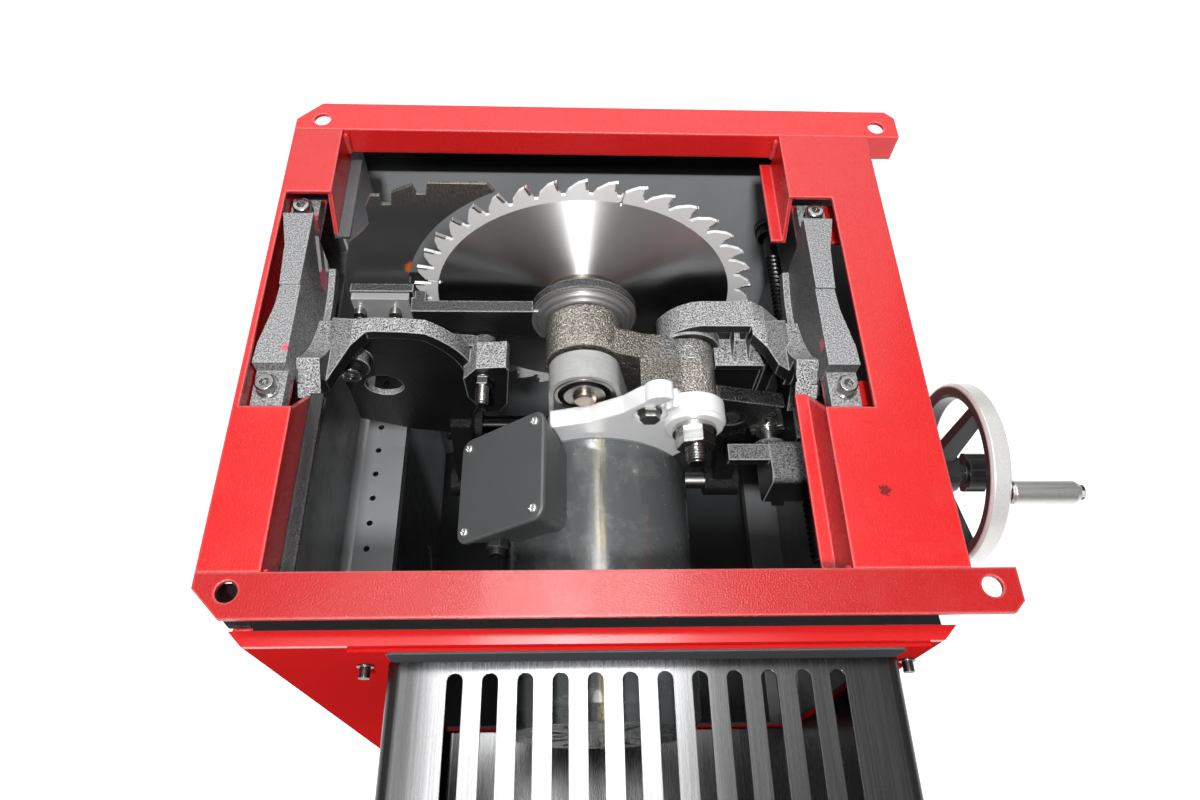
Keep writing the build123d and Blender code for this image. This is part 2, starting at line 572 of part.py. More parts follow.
def saw_blade():
    """Plate with hook teeth and four expansion slots that end in round holes."""
    step = 360 / TEETH
    points = []
    for i in range(TEETH):
        for inset, part in ((0, 0), (2.2, 0.3), (8, 0.66), (12.5, 0.78), (12, 0.93)):
            angle = radians(90 + step * (i + part))
            points.append(((BLADE_R - inset) * cos(angle), (BLADE_R - inset) * sin(angle)))
    plate = shape(*points) - Circle(7.94)
    for i in range(4):
        angle = 78.1 + 90 * i
        cut = Pos(109, 0) * Circle(2) + Pos(114, 0) * Rectangle(12, 1)
        plate -= Rot(0, 0, angle) * cut
    blade = across(Pos(*ARBOR) * plate, (-BLADE_T / 2, BLADE_T / 2))
    save(blade, "saw_blade")


def loop(extra):
    """Belt line round both pulleys, grown by a distance."""
    r1, r2 = PULLEY_R + extra, MOTOR_PULLEY_R + extra
    dx, dz = MOTOR[0] - ARBOR[0], MOTOR[1] - ARBOR[1]
    span = sqrt(dx * dx + dz * dz)
    lean = atan2(dz, dx)
    side = pi / 2 + atan2(r2 - r1, sqrt(span ** 2 - (r2 - r1) ** 2))
    corners = []
    for centre, r, turn in ((ARBOR, r1, side), (ARBOR, r1, -side), (MOTOR, r2, -side), (MOTOR, r2, side)):
        corners.append((centre[0] + r * cos(lean + turn), centre[1] + r * sin(lean + turn)))
    return disc(ARBOR, r1) + disc(MOTOR, r2) + shape(*corners)


TENSION = (46.0, TOP - 45.0)
BOLT_SEAT = -98.0           # floor of the pocket under the tension bolt


def belt_and_motor():
    """Flat belt, cast motor bracket, tension bolt, motor, rotor shaft and pulley."""
    save(across(loop(GAP + BELT_T) - loop(GAP), BELT_Y), "drive_belt")

    plate = disc(PIVOT, 23) + disc(MOTOR, 60)
    plate += level((-28, -82), (-25, -64), (4, -55), (27, -41), (38, -29), (48, -20), (58, -21), (68, -36),
                   (79, -38), (101, -64), (92, -80), (66, -116), (-40, -116))
    plate += disc((52, TOP - 30), 11.5)
    slot_r = sqrt((TENSION[0] - PIVOT[0]) ** 2 + (TENSION[1] - PIVOT[1]) ** 2)
    for i in range(5):
        turn = atan2(TENSION[1] - PIVOT[1], TENSION[0] - PIVOT[0]) - radians(10 * i)
        plate -= disc((PIVOT[0] + slot_r * cos(turn), PIVOT[1] + slot_r * sin(turn)), 4.6)
    cast = across(plate, (MOTOR_Y[1], -88)) + across(disc(PIVOT, 21), (-105.7, -88))
    cast -= across(disc(TENSION, 12), (MOTOR_Y[1] - 1, BOLT_SEAT)) - across(disc(PIVOT, 21), (-110, -88))
    cast -= across(disc(PIVOT, 10 + 2 * GAP), (-110, -80)) + across(disc(MOTOR, 24), (-110, -80))
    save(cast, "motor_bracket")
    bolt = across(disc(TENSION, 4), (BOLT_SEAT, -76)) + across(disc(TENSION, 9), (BOLT_SEAT - 2, BOLT_SEAT))
    bolt += across(hexagon(TENSION, 13), (BOLT_SEAT - 8, BOLT_SEAT - 2))
    save(bolt, "tension_bolt")

    body = [(9.7, MOTOR_Y[1]), (MOTOR_R - 3, MOTOR_Y[1]), (MOTOR_R, MOTOR_Y[1] - 3), (MOTOR_R, MOTOR_Y[0]),
            (9.7, MOTOR_Y[0])]
    save(revolve_y(body, MOTOR), "motor_housing")
    tail = MOTOR_Y[0] - 30
    cap_r = MOTOR_R - 1
    cap = [(0, MOTOR_Y[0]), (cap_r, MOTOR_Y[0]), (cap_r, tail + 10), (cap_r - 8, tail), (0, tail)]
    cap = revolve_y(cap, MOTOR)
    for i in range(12):
        vent = Pos(*MOTOR) * Rot(0, 0, 30 * i) * Pos(38, 0) * Rectangle(26, 5)
        cap -= across(vent, (tail - 1, tail + 4))
    save(cap, "fan_cover")
    save(across(disc(MOTOR, 9.5), (MOTOR_Y[0] + 1, -60)), "motor_shaft")
    pulley = [(9.5, -85), (MOTOR_PULLEY_R, -85), (MOTOR_PULLEY_R, -62), (9.5, -62)]
    save(revolve_y(pulley, MOTOR), "motor_pulley")


BOX_TILT = 41.5                      # the terminal box leans towards the rear
BOX_CENTRE = (-59.5, TOP - 61.0)     # middle of its lid
BOX_Y = (-174.0, -108.0)
LID_W = 81.5


def terminal_box():
    """Terminal box on the motor's shoulder, its lid with four screws and a cable gland."""
    mid_y = (BOX_Y[0] + BOX_Y[1]) / 2
    place = Pos(BOX_CENTRE[0], mid_y, BOX_CENTRE[1]) * Rot(0, -BOX_TILT, 0)
    deep = 46.0
    tub = extrude(RectangleRounded(LID_W - 3, BOX_Y[1] - BOX_Y[0] - 3, 8), -deep)
    tub = place * (Pos(0, 0, -3) * tub)
    tub -= across(disc(MOTOR, MOTOR_R), (BOX_Y[0] - 40, BOX_Y[1] + 20))
    tub = tub.solids().sort_by(SortBy.VOLUME)[-1]
    save(tub, "terminal_box")
    lid = extrude(RectangleRounded(LID_W, BOX_Y[1] - BOX_Y[0], 9), -3)
    lid = place * chamfer(lid.faces().sort_by(Axis.Z)[-1].edges(), 0.8)
    save(lid, "terminal_lid")
    heads = []
    for x in (-1, 1):
        for y in (-1, 1):
            spot = Pos(x * (LID_W / 2 - 8), y * ((BOX_Y[1] - BOX_Y[0]) / 2 - 8), 0.9)
            heads.append(place * spot * Cylinder(2.9, 1.8))
    save(Compound(heads), "lid_screws")
    spot = place * Pos(-LID_W / 4, 0, -20)
    gland_x, gland_z = spot.position.X, spot.position.Z
    gland = across(disc((gland_x, gland_z), 8), (BOX_Y[0] - 12, BOX_Y[0] + 1.5))
    gland += across(hexagon((gland_x, gland_z), 20), (BOX_Y[0] - 7, BOX_Y[0] + 1.5))
    gland -= across(disc((gland_x, gland_z), 4.5), (BOX_Y[0] - 13, BOX_Y[0] - 2))
    save(gland, "cable_gland")


CARRIER_Y = (-20.0, -8.0)
LINK_END = (LINK_PIN[0] + ARBOR[0] - PIVOT[0], LINK_PIN[1] + ARBOR[1] - PIVOT[1])
CLAMP_SCREWS = ((-167.0, TOP - 43.0), (-141.0, TOP - 43.0))
KNIFE_Y = (-1.25, 1.25)


def knife_parts():
    """Riving-knife carrier on the arbor nose, its level link, clamp, screws and the knife."""
    hub = [(0, -10.5), (40, -10.5), (40, -17.5), (38.5, -19), (35.5, -19), (35.5, -21), (34.3, -22.2),
           (31.5, -22.2), (31.5, -24.5), (0, -24.5)]
    cast = revolve_y(hub, ARBOR)
    bar = level((-126, -60), (-30, -70), (-20, -30), (-34, -35), (-126, -35))
    cast += across(bar, (CARRIER_Y[0], -10.5))
    tail = level((-172, -60), (-126, -60), (-126, -27), (-172, -27))
    cast += across(tail, (CARRIER_Y[1], KNIFE_Y[0] - 0.1))
    step = level((-128, -60), (-118, -60), (-118, -35), (-128, -35))
    cast += across(step, (CARRIER_Y[0], KNIFE_Y[0] - 0.1))
    neck = shape((LINK_END[0] - 9, TOP - 50), (LINK_END[0] + 9, TOP - 50), (LINK_END[0] + 9, LINK_END[1]),
                 (LINK_END[0] - 9, LINK_END[1]))
    cast += across(disc(LINK_END, 9), (-20, -4)) + across(neck, (CARRIER_Y[1], -4))
    cast -= block((-172, -128), (CARRIER_Y[0] - 1, CARRIER_Y[1]), (TOP - 58.2, TOP - 26))
    cast += across(disc(LINK_END, 5), (-31, -19))
    cast -= across(disc(ARBOR, NOSE_R + FIT), (-30, 0))
    for spot in CLAMP_SCREWS:
        cast -= across(disc(spot, 2.7), (-40, 0))
    save(cast, "knife_carrier")
    plate = level((-171, -58), (-129, -58), (-129, -29), (-171, -29))
    jaw = across(plate, (KNIFE_Y[1] + 0.1, 7))
    plate = across(plate, (-14, CARRIER_Y[1]))
    for spot in CLAMP_SCREWS:
        plate -= across(disc(spot, 2.7), (-40, 0))
        jaw -= across(disc(spot, 2.5), (0, 10))
    save(plate, "clamp_plate")
    save(jaw, "clamp_jaw")
    screws = []
    for spot in CLAMP_SCREWS:
        head = across(disc(spot, 4.2) - hexagon(spot, 4), (-19, -15.5))
        head += across(disc(spot, 4.2), (-15.5, -14))
        screws.append(head + across(disc(spot, 2.5), (-14, 7)))
    save(Compound(screws), "clamp_screws")
    link = disc(LINK_PIN, 9) + disc(LINK_END, 10)
    lean = atan2(LINK_END[1] - LINK_PIN[1], LINK_END[0] - LINK_PIN[0])
    half = 6.5
    off = (-half * sin(lean), half * cos(lean))
    corners = []
    for end, way in ((LINK_PIN, 1), (LINK_END, 1), (LINK_END, -1), (LINK_PIN, -1)):
        corners.append((end[0] + way * off[0], end[1] + way * off[1]))
    link += shape(*corners)
    link -= disc(LINK_PIN, 5 + FIT) + disc(LINK_END, 5 + GAP)
    save(across(link, (-31.3, -21.5)), "level_link")

    inner = BLADE_R + 4
    low, high = -62, 70
    side = -sqrt(inner ** 2 - (high - ARBOR[1] + TOP) ** 2)
    foot = -sqrt(inner ** 2 - (low - ARBOR[1] + TOP) ** 2)
    with BuildSketch() as knife:
        with BuildLine():
            Polyline((foot, low), (-178, low), (-178, -49), (-173, -11), (-163, 20), (-151, 32), (-146, 39),
                     (-145, 55), (-140, 65), (-134, 65), (-134, 57), (-128, 57), (-126, 68), (-112, 75),
                     (-110, 67), (-104, 67), (-102, 77), (-64, 77), (side, high))
            ThreePointArc((side, high), (-inner, ARBOR[1] - TOP), (foot, low))
        make_face()
    blank = Pos(0, TOP) * knife.sketch
    for spot in CLAMP_SCREWS:
        left, right = spot[0] - 3.2, spot[0] + 3.2
        slot = shape((left, spot[1]), (right, spot[1]), (right, TOP - 70), (left, TOP - 70))
        blank -= disc(spot, 3.2) + slot
    save(across(blank, KNIFE_Y), "riving_knife")


def handwheel(bore_r):
    """Dished wheel on the Z axis, rim at zero height, hub below it; three tapering spokes."""
    inner = WHEEL_R - RIM_W
    rim = [(inner, 2), (inner + 2, 0), (WHEEL_R - 2, 0), (WHEEL_R, 2), (WHEEL_R, RIM_H - 2),
           (WHEEL_R - 2, RIM_H), (inner + 2, RIM_H), (inner, RIM_H - 2)]
    wheel = revolve(Plane.XZ * make_face(Polyline(*rim, close=True)), Axis.Z)
    wheel += Pos(0, 0, -9) * Cylinder(15, 26)
    for i in range(3):
        lower = Plane((9, 0, -12), z_dir=(1, 0, 0)) * Rectangle(17, 9)
        upper = Plane((WHEEL_R - 8, 0, 6), z_dir=(1, 0, 0)) * Rectangle(12, 8)
        wheel += Rot(0, 0, 120 * i + 60) * loft([lower, upper], ruled=True)
    wheel -= Cylinder(bore_r, 80)
    return wheel


def wheel_handle():
    """Turned grip that spins on a pin, standing on the rim."""
    bore = 3 + GAP
    grip = make_face(Polyline((bore, 16), (7, 16), (8.5, 18), (8.5, 62), (6.5, 66), (bore, 66), close=True))
    pin = make_face(Polyline((0, 8), (3, 8), (3, 66.5), (5.5, 66.5), (5.5, 69), (0, 69), close=True))
    return [revolve(Plane.XZ * f, Axis.Z) for f in (grip, pin)]


def lock_knob():
    """Scalloped knob on the end of the shaft."""
    star = Circle(15)
    for i in range(6):
        star -= Rot(0, 0, 60 * i) * Pos(18, 0) * Circle(5)
    return Pos(0, 0, 12) * extrude(star, 16) + Pos(0, 0, 6) * extrude(Circle(8), 6)


HANDLE_R = WHEEL_R - 8
LIFT_HANDLE_TURN = 128.0
TILT_HANDLE_TURN = 200.0


def drive_end(place, name, turn, bore):
    """Handwheel with its riveted handle pin, the handle that spins on it and the lock knob."""
    wheel = Rot(0, 0, turn) * handwheel(bore)
    at_rim = Rot(0, 0, turn) * Pos(HANDLE_R, 0, 0)
    grip, pin = wheel_handle()
    save(place * (wheel + at_rim * pin), f"{name}_handwheel")
    save(place * at_rim * grip, f"{name}_handle")
    save(place * lock_knob(), f"{name}_lock_knob")


def drives():
    """Lift shaft along X at the front, tilt screw along Y through the far panel, with its nut."""
    shaft = along(disc(LIFT, 8), (GEARBOX_X[1] - 20, LIFT_WHEEL_X + 4))
    save(shaft, "lift_shaft")
    front = Plane(origin=(LIFT_WHEEL_X, LIFT[0], LIFT[1]), x_dir=(0, 1, 0), z_dir=(1, 0, 0))
    drive_end(Location(front), "lift", LIFT_HANDLE_TURN, 8)

    screw = across(disc(TILT_SCREW, SCREW_R), (-165, TILT_WHEEL_Y + 4))
    screw += across(disc(TILT_SCREW, 12), (176, BODY_Y[1] - 8.2))
    save(screw, "tilt_screw")
    side = Plane(origin=(TILT_SCREW[0], TILT_WHEEL_Y, TILT_SCREW[1]), x_dir=(1, 0, 0), z_dir=(0, 1, 0))
    drive_end(Location(side), "tilt", TILT_HANDLE_TURN, SCREW_R)
    seat = disc(TILT_SCREW, 26) - disc(TILT_SCREW, SCREW_R + FIT)
    bearing = across(seat, (BODY_Y[1], BODY_Y[1] + 9))
    bearing += across(disc(TILT_SCREW, 14) - disc(TILT_SCREW, SCREW_R + FIT), (BODY_Y[1] - 8, BODY_Y[1]))
    save(bearing, "tilt_bearing")
    deep = TILT_Z - TILT_SCREW[1]
    nut_y = deep * tan(radians(LUG_ANGLE))
    nut = across(Pos(*TILT_SCREW) * Rectangle(24, 26), (nut_y - 13, nut_y + 13))
    nut = fillet(nut.edges().filter_by(Axis.Y), 3)
    nut -= across(disc(TILT_SCREW, SCREW_R + FIT), (nut_y - 20, nut_y + 20))
    nut += along(disc((nut_y, TILT_SCREW[1]), NUT_PIN_R), (LUG_X[0] - 4, TILT_SCREW[0] - 11))
    save(nut - across(disc(TILT_SCREW, SCREW_R + FIT), (nut_y - 20, nut_y + 20)), "tilt_nut")


top_frame()
cabinet_body()
inner_ledges()
motor_door()
trunnion_brackets()
rear_trunnion()
front_trunnion()
lift_gearbox()
raising_arm()
pivot_parts()
arbor_parts()
saw_blade()
belt_and_motor()
terminal_box()
knife_parts()
drives()
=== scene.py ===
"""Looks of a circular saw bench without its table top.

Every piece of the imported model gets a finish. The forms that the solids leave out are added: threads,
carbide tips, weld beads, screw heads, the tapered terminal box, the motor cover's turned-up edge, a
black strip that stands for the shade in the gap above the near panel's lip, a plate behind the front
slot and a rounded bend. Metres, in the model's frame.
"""
import json
import math

import bmesh
import bpy
import numpy as np
from mathutils import Matrix, Vector


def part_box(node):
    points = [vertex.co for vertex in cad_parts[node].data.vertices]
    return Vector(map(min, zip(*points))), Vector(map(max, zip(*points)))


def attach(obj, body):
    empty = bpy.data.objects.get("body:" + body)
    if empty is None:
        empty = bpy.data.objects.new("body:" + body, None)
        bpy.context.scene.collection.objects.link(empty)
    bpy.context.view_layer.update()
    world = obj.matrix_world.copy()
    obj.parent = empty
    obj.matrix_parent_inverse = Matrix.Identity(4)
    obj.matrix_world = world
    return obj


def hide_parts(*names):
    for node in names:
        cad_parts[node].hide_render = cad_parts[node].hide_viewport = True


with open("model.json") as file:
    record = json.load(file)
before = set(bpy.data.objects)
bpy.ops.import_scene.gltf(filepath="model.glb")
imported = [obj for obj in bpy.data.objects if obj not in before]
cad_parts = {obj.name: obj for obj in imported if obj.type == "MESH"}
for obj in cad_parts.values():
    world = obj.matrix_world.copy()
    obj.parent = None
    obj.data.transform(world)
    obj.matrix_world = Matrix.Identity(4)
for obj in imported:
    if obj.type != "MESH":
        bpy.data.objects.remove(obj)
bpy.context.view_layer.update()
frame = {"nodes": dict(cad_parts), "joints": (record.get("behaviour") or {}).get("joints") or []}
nodes = frame["nodes"]
centres = {j["name"]: Vector(j["pos_m"]) for j in frame["joints"] if "pos_m" in j}

MM = 0.001
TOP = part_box("far_rail")[1].z  # top face of the frame
ARBOR = centres["arbor_spin"]
PIVOT = centres["blade_raise"]
MOTOR = centres["motor_spin"]
TILT_SCREW = centres["tilt_turn"]
LIFT = centres["lift_turn"]
LINK_PIN = centres["link_swing"]
TILT = centres["blade_tilt"]

# The sizes of the new forms are in millimetres; down is below the top face of the frame

# Threaded rods: a profile's corners by way along Y and radius, a thread by start, end, pitch and depth
STUD = [(-134, 6.0), (-132.2, 8), (-110.01, 8), (-110, 10), (-16, 10)]
STUD_THREAD = (-133.5, -121, 2.0, 1.1)
LEAD_SCREW = [(-165, 5), (-163, 7), (175.99, 7), (176, 12), (185.79, 12), (185.8, 7), (244, 7)]
LEAD_THREAD = (-164, 150, 5.0, 1.4)
LINK_END = [(-79, 3.4), (-77.5, 5), (-63.5, 5)]
LINK_THREAD = (-78.5, -64, 1.5, 0.8)
TURN_RINGS = 12  # rings along one turn of a thread
FLANK = 1.3  # steepness of its flanks
CREST = 0.15  # taken off them, so that the crest is flat

# Blade: a tip's corners by radius and part of a tooth's step
TEETH = 40
TIP_CORNERS = np.array([(127.0, -0.012), (126.5, 0.085), (119.5, 0.045), (119.5, -0.056)])
TIP_HALF = 1.3  # half the width of the cut
RING_FROM = 109.6  # radius at which the matt toothed ring begins

# Weld beads in the frame's inner corners and at the rear end of the gap above the near panel's lip
WELD_X = (-187.6, 155.6)
WELD_Y = (-228.1, 128.1)
WELD_DOWN = (3, 24)
WELD_R = 2.6
LIP_WELD_X = (-207, -193)
LIP_WELD_Y = -257.2
LIP_WELD_DOWN = 22.9
LIP_WELD_R = 1.6
RIPPLE = 2.6  # from one ripple of a bead to the next

# Plate behind the front panel's slot
SHIELD_SWEEP = (-8, 53)  # degrees of tilt that it covers
SHIELD_BAND = np.array([-16, -8, 8, 20])  # out from the lift shaft's way round the tilt axis
SHIELD_X = (206.5, 208.5)

# Bend between the rear wall and its ledge
FOLD_R = 7
FOLD_BACK = 0.2  # how far it reaches into the wall and the ledge
FOLD_Y = np.array([-264.5, -150, 0, 149.5])
REAR_WALL = -198
LEDGE_DOWN = 205

# Motor cover's edge against the door: rings by inset and by distance from the door
FLANGE_SIZE = np.array((311.0, 21.2))
FLANGE_CORNER = 3.0
FLANGE_X = 36.5
FLANGE_DOWN = 39.2
FLANGE_RINGS = [(0.0, 0.05), (0.0, 1.0), (0.4, 1.4)]

# Black strip between the near rail and the near panel's lip, standing for the shade in the gap
STRIP_X = np.array([-195.9, -60, 80, 211.9])
STRIP_Y = np.linspace(-257.9, -247.1, 9)
STRIP_DOWN = 21.4
STRIP_FOOT_DOWN = 23.8
STRIP_DIP = 0.8

# Terminal box on the motor
OUTLINE_POINTS = 160  # round a rounded rectangle
LID_TILT = math.radians(41.5)
LID_MIDDLE = (-59.5, -142.4, TOP / MM - 61.0)
LID_SIZE = np.array((81.5, 80.6))
LID_THICK = 4.0
LID_CORNER = 9.0
TUB_TOP = LID_SIZE - 3.0
TUB_FOOT = np.array((45.0, 64.0))
TUB_CORNER = 8.0
MOTOR_R = 72.0
MOTOR_GAP = 0.1  # between the box's foot and the motor
PAN_AT = (32.75, 32.3)  # lid screws, up the slope and across it from the middle
PAN_R = 3.3
PAN_HIGH = 1.9
GLAND_AT = (-20.4, -20.0)  # up the slope and out of the lid
GLAND_HALF = 7.0  # half across the flats
GLAND_COLLAR = 5.5
GLAND_BORE = 3.4
GLAND_ENDS = (-42.0, -47.0, -41.0)  # hexagon, collar and bore, across the lid
GLAND_GAP = 0.4  # between its foot and the box's wall

# Socket screw in the rear casting's boss: rings by radius, or by share of the socket, and way along Y
BOSS_X = -175
BOSS_DOWN = 69
HEAD_RINGS = [(9.0, -48.0), (9.0, -55.2), (8.2, -56.0), (5.6, -56.0)]
SOCKET_HALF = 4.0
SOCKET_RINGS = [(1.0, -55.6), (0.99, -52.0), (0.5, -51.6)]

# Marks in the paint, in metres: daubs by centre and radius
CHIP = (0.1851, -0.1795, TOP)
CHIP_R = 3.4 * MM
REAR_DAUBS = [((-0.2005, 0.047, TOP - 14 * MM), 9 * MM), ((-0.2, 0.020, TOP - 49 * MM), 9 * MM),
              ((-0.202, -0.072, TOP - 6 * MM), 3 * MM)]
FRONT_DAUBS = [((0.170, -0.0635, TOP - 12 * MM), 6 * MM)]
ORANGE_DAUB = Vector((-0.1215, 0.0, TOP - 8 * MM))
ORANGE_R = 8 * MM
# Two white lines on the rear bracket's inner face: a painted highlight standing for a machined rib's bright
# edges
RIB_GLINT_FROM = (-0.2, 0.0341, TOP - 17 * MM)
RIB_GLINT_ACROSS = (0, 0.798494, -0.602002)
RIB_GLINT_ALONG = (0, -0.774235, -0.632898)
RIB_GLINT_MIDDLE = (10.438 * MM, 12.619 * MM)  # across and along
RIB_GLINT_APART = 8.350 * MM  # from the middle to each of the two lines
RIB_GLINT_WIDE = (5.219 * MM, 3.131 * MM)  # where a line begins to show and where it is full
RIB_GLINT_LONG = (14.104 * MM, 12.619 * MM)
RIB_GLINT_X = (-203 * MM, -201 * MM)

# Where the finishes change, in metres
LIP_Z = TOP - 26 * MM
# Below these heights the rails' hollows are painted near-black: painted shade. The rear one turns grey past
# a Y given below: painted light.
NEAR_HOLLOW_SHADE_Z = TOP - 19 * MM
REAR_HOLLOW_SHADE = (TOP - 30.5 * MM, -223.4 * MM)  # below this height and past this X
# The far panel is black inside above this height, a painted shadow; the rear panel is paler inside past a
# Y, painted light
SHOULDER_SHADOW_Z = TOP - 109 * MM
REAR_RAIL_LIT_Y = 20 * MM
REAR_PANEL_LIT_Y = 70 * MM
# Lighter specks on the rear bracket's inner face towards the near side: painted light
LIT_SPECKS_Y = (12 * MM, -12 * MM)
# Painted shade on the ledges past a place on each axis
LEDGE_SHADES = (("Y", -30 * MM, 1.0), ("X", 80 * MM, 0.35))
# Below this height the castings' upper faces stay black: painted shade
CASTING_SHADE_Z = TOP - 140 * MM
PIVOT_BOSS = {"X": (PIVOT.x - 32 * MM, PIVOT.x - 16 * MM), "Y": (-66 * MM, -50 * MM),
              "Z": (PIVOT.z + 8 * MM, PIVOT.z + 20 * MM)}
# Darker between the arm's two bosses, painted shade, and black past the quadrant's X, painted shade
WEB_SHADE_FROM = (ARBOR.x + 20 * MM, ARBOR.x + 30 * MM)
WEB_SHADE_TO = (PIVOT.x - 5 * MM, PIVOT.x - 11 * MM)
QUADRANT_SHADE_X = (PIVOT.x + 14 * MM, PIVOT.x + 24 * MM)
# The tie rods are black before this X: painted shade
TIE_ROD_SHADE_X = 30 * MM
GRIME_Z = (TOP + 48 * MM, TOP + 74 * MM)
STREAK_SIDE = (5 * MM, 1 * MM)
# The motor cover is darker over these spans of X: painted shade that leaves a painted highlight between
COVER_SHADED_ENDS = ((38 * MM, 80 * MM), (-90 * MM, -106 * MM))
BEARING_R = 38.8 * MM
RIM_R = 67 * MM
RIM_SOFT = 0.2 * MM
EVERY_X = -1.0  # all of the part lies past it

# Camera, fitted to the photograph
YAW, PITCH, ROLL = (math.radians(angle) for angle in (4.774, 60.17, 4.246))
EYE = Vector((-0.01404, -0.388, TOP + 0.47728))
SENSOR = 36.0
LENS = 25.33

# Lamps: name, place, what it looks at, watts, width and length
LAMPS = (
    ("key", (-0.10, -0.80, TOP + 1.17), (0.0, 0.0, TOP - 0.1), 23.0, (0.11, 0.13)),
    ("strip", (0.01, -0.25, TOP + 1.30), (0.0, -0.05, TOP), 2.8, (0.08, 1.6)),
    ("overhead", (-0.20, -0.15, TOP + 1.31), (-0.15, -0.10, TOP), 5.8, (0.90, 1.2)),
    ("sheen", (0.02, 0.126, TOP + 1.30), (0.0, -0.20, TOP), 4.0, (0.42, 0.30)),
    ("back", (0.0, 1.3, TOP + 1.45), (0.0, 0.0, TOP), 13.0, (2.0, 1.1)))
ROOM_LIGHT = 0.24
FLOOR_GLOW = 0.62
FLOOR_REACH = 40.0

RED = (0.52, 0.012, 0.013)
DEEP_RED = (0.45, 0.010, 0.010)
PRIMER = (0.13, 0.006, 0.006)


# Meshes

def piece(name, shape, body, finish, replaced=None):
    """Mesh object from points and faces, its faces turned outwards, riding on a body."""
    points, faces = shape
    mesh = bpy.data.meshes.new(name)
    mesh.from_pydata(points.tolist(), [], faces)
    shell = bmesh.new()
    shell.from_mesh(mesh)
    bmesh.ops.recalc_face_normals(shell, faces=shell.faces)
    shell.to_mesh(mesh)
    shell.free()
    mesh.materials.append(finish)
    made = bpy.data.objects.new(name, mesh)
    bpy.context.scene.collection.objects.link(made)
    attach(made, body)
    if replaced:
        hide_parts(replaced)


def tube(grid):
    """Closed tube from a grid of rings: quads between the rings, a fan to the middle of each end ring."""
    rows, columns = grid.shape[:2]
    row, column = np.meshgrid(np.arange(rows - 1), np.arange(columns), indexing="ij")
    after = (column + 1) % columns
    quads = np.stack([row * columns + column, row * columns + after,
                      (row + 1) * columns + after, (row + 1) * columns + column], -1).reshape(-1, 4)
    ring = np.arange(columns)
    around = (ring + 1) % columns
    last = (rows - 1) * columns
    low = np.stack([np.full(columns, rows * columns), around, ring], -1)
    high = np.stack([np.full(columns, rows * columns + 1), last + ring, last + around], -1)
    points = np.vstack([grid.reshape(-1, 3), grid[0].mean(0), grid[-1].mean(0)])
    return points, quads.tolist() + low.tolist() + high.tolist()


def joined(shapes):
    """Several shapes as one mesh."""
    points, faces, start = [], [], 0
    for some, sides in shapes:
        points.append(some)
        faces += [[i + start for i in side] for side in sides]
        start += len(some)
    return np.vstack(points), faces


def grid_of(x, y, z):
    """Points from their three numbers, any of which may be one for many points."""
    return np.stack(np.broadcast_arrays(x, y, z), -1)


def carried(section, along, axis):
    """Tube whose rings repeat one section, with its points across and up, at each place along X or Y."""
    run, across, up = along[:, None], section[:, 0], section[:, 1]
    level = (run, across) if axis == "X" else (across, run)
    return tube(grid_of(*level, up) * MM)


def full_turn(count):
    """Angles evenly round a circle."""
    return np.arange(count) * 2 * np.pi / count


def hexagon(angle, half):
    """Distance from a hexagon's middle to its outline: half the width across flats over the cosine of
    the angle from the nearest flat."""
    return half / np.cos((angle + np.pi / 6) % (np.pi / 3) - np.pi / 6)


def rounded_outline(size, radius):
    """Points evenly along a rectangle with rounded corners: four quarter rounds joined by straight runs."""
    turn = np.radians(np.linspace(0, 90, 10)) + np.radians([[0], [90], [180], [270]])
    corner = np.array([(1, 1), (-1, 1), (-1, -1), (1, -1)]) * (size / 2 - radius)
    line = corner[:, None, :] + radius * np.stack([np.cos(turn), np.sin(turn)], -1)
    line = np.vstack([line.reshape(-1, 2), line[0, :1]])
    way = np.concatenate([[0], np.cumsum(np.linalg.norm(np.diff(line, axis=0), axis=1))])
    even = np.linspace(0, way[-1], OUTLINE_POINTS, endpoint=False)
    return np.stack([np.interp(even, way, line[:, 0]), np.interp(even, way, line[:, 1])], -1)


def threaded_rod(centre, profile, thread, columns=40):
    """Rod along Y. Its radius runs straight between the profile's corners. Over the thread's span a
    groove is taken off: its share of the depth is the distance from the middle of the turn, and the
    turn is the way along the rod over the pitch, less the angle round it."""
    start, end, pitch, deep = thread
    corners = np.array(profile)
    y = np.unique(np.concatenate([corners[:, 0], np.arange(start, end, pitch / TURN_RINGS)]))
    radius = np.interp(y, corners[:, 0], corners[:, 1])
    inside = (y >= start) & (y <= end)
    angle = full_turn(columns)
    turn = y[:, None] / pitch - angle[None, :] / (2 * np.pi)
    groove = np.clip(np.abs(2 * (turn % 1) - 1) * FLANK - CREST, 0, 1)
    out = (radius[:, None] - deep * groove * inside[:, None]) * MM
    return tube(grid_of(centre.x + out * np.cos(angle), y[:, None] * MM, centre.z + out * np.sin(angle)))


def carbide_tips():
    """A wedge brazed to each tooth: four corners, each by its radius and its part of a tooth's step,
    turned round the arbor and set out to both sides of the plate."""
    step = 2 * math.pi / TEETH
    angle = np.pi / 2 + step * (np.arange(TEETH)[:, None] + TIP_CORNERS[None, :, 1])
    x = ARBOR.x + TIP_CORNERS[:, 0] * MM * np.cos(angle)
    z = ARBOR.z + TIP_CORNERS[:, 0] * MM * np.sin(angle)
    sides = [grid_of(x, half, z) for half in (-TIP_HALF * MM, TIP_HALF * MM)]
    points = np.concatenate(sides, 1).reshape(-1, 3)
    wedge = np.array([(0, 1, 2, 3), (7, 6, 5, 4), (0, 4, 5, 1), (1, 5, 6, 2), (2, 6, 7, 3), (3, 7, 4, 0)])
    faces = (np.arange(TEETH)[:, None, None] * 8 + wedge[None]).reshape(-1, 4)
    return points, faces.tolist()


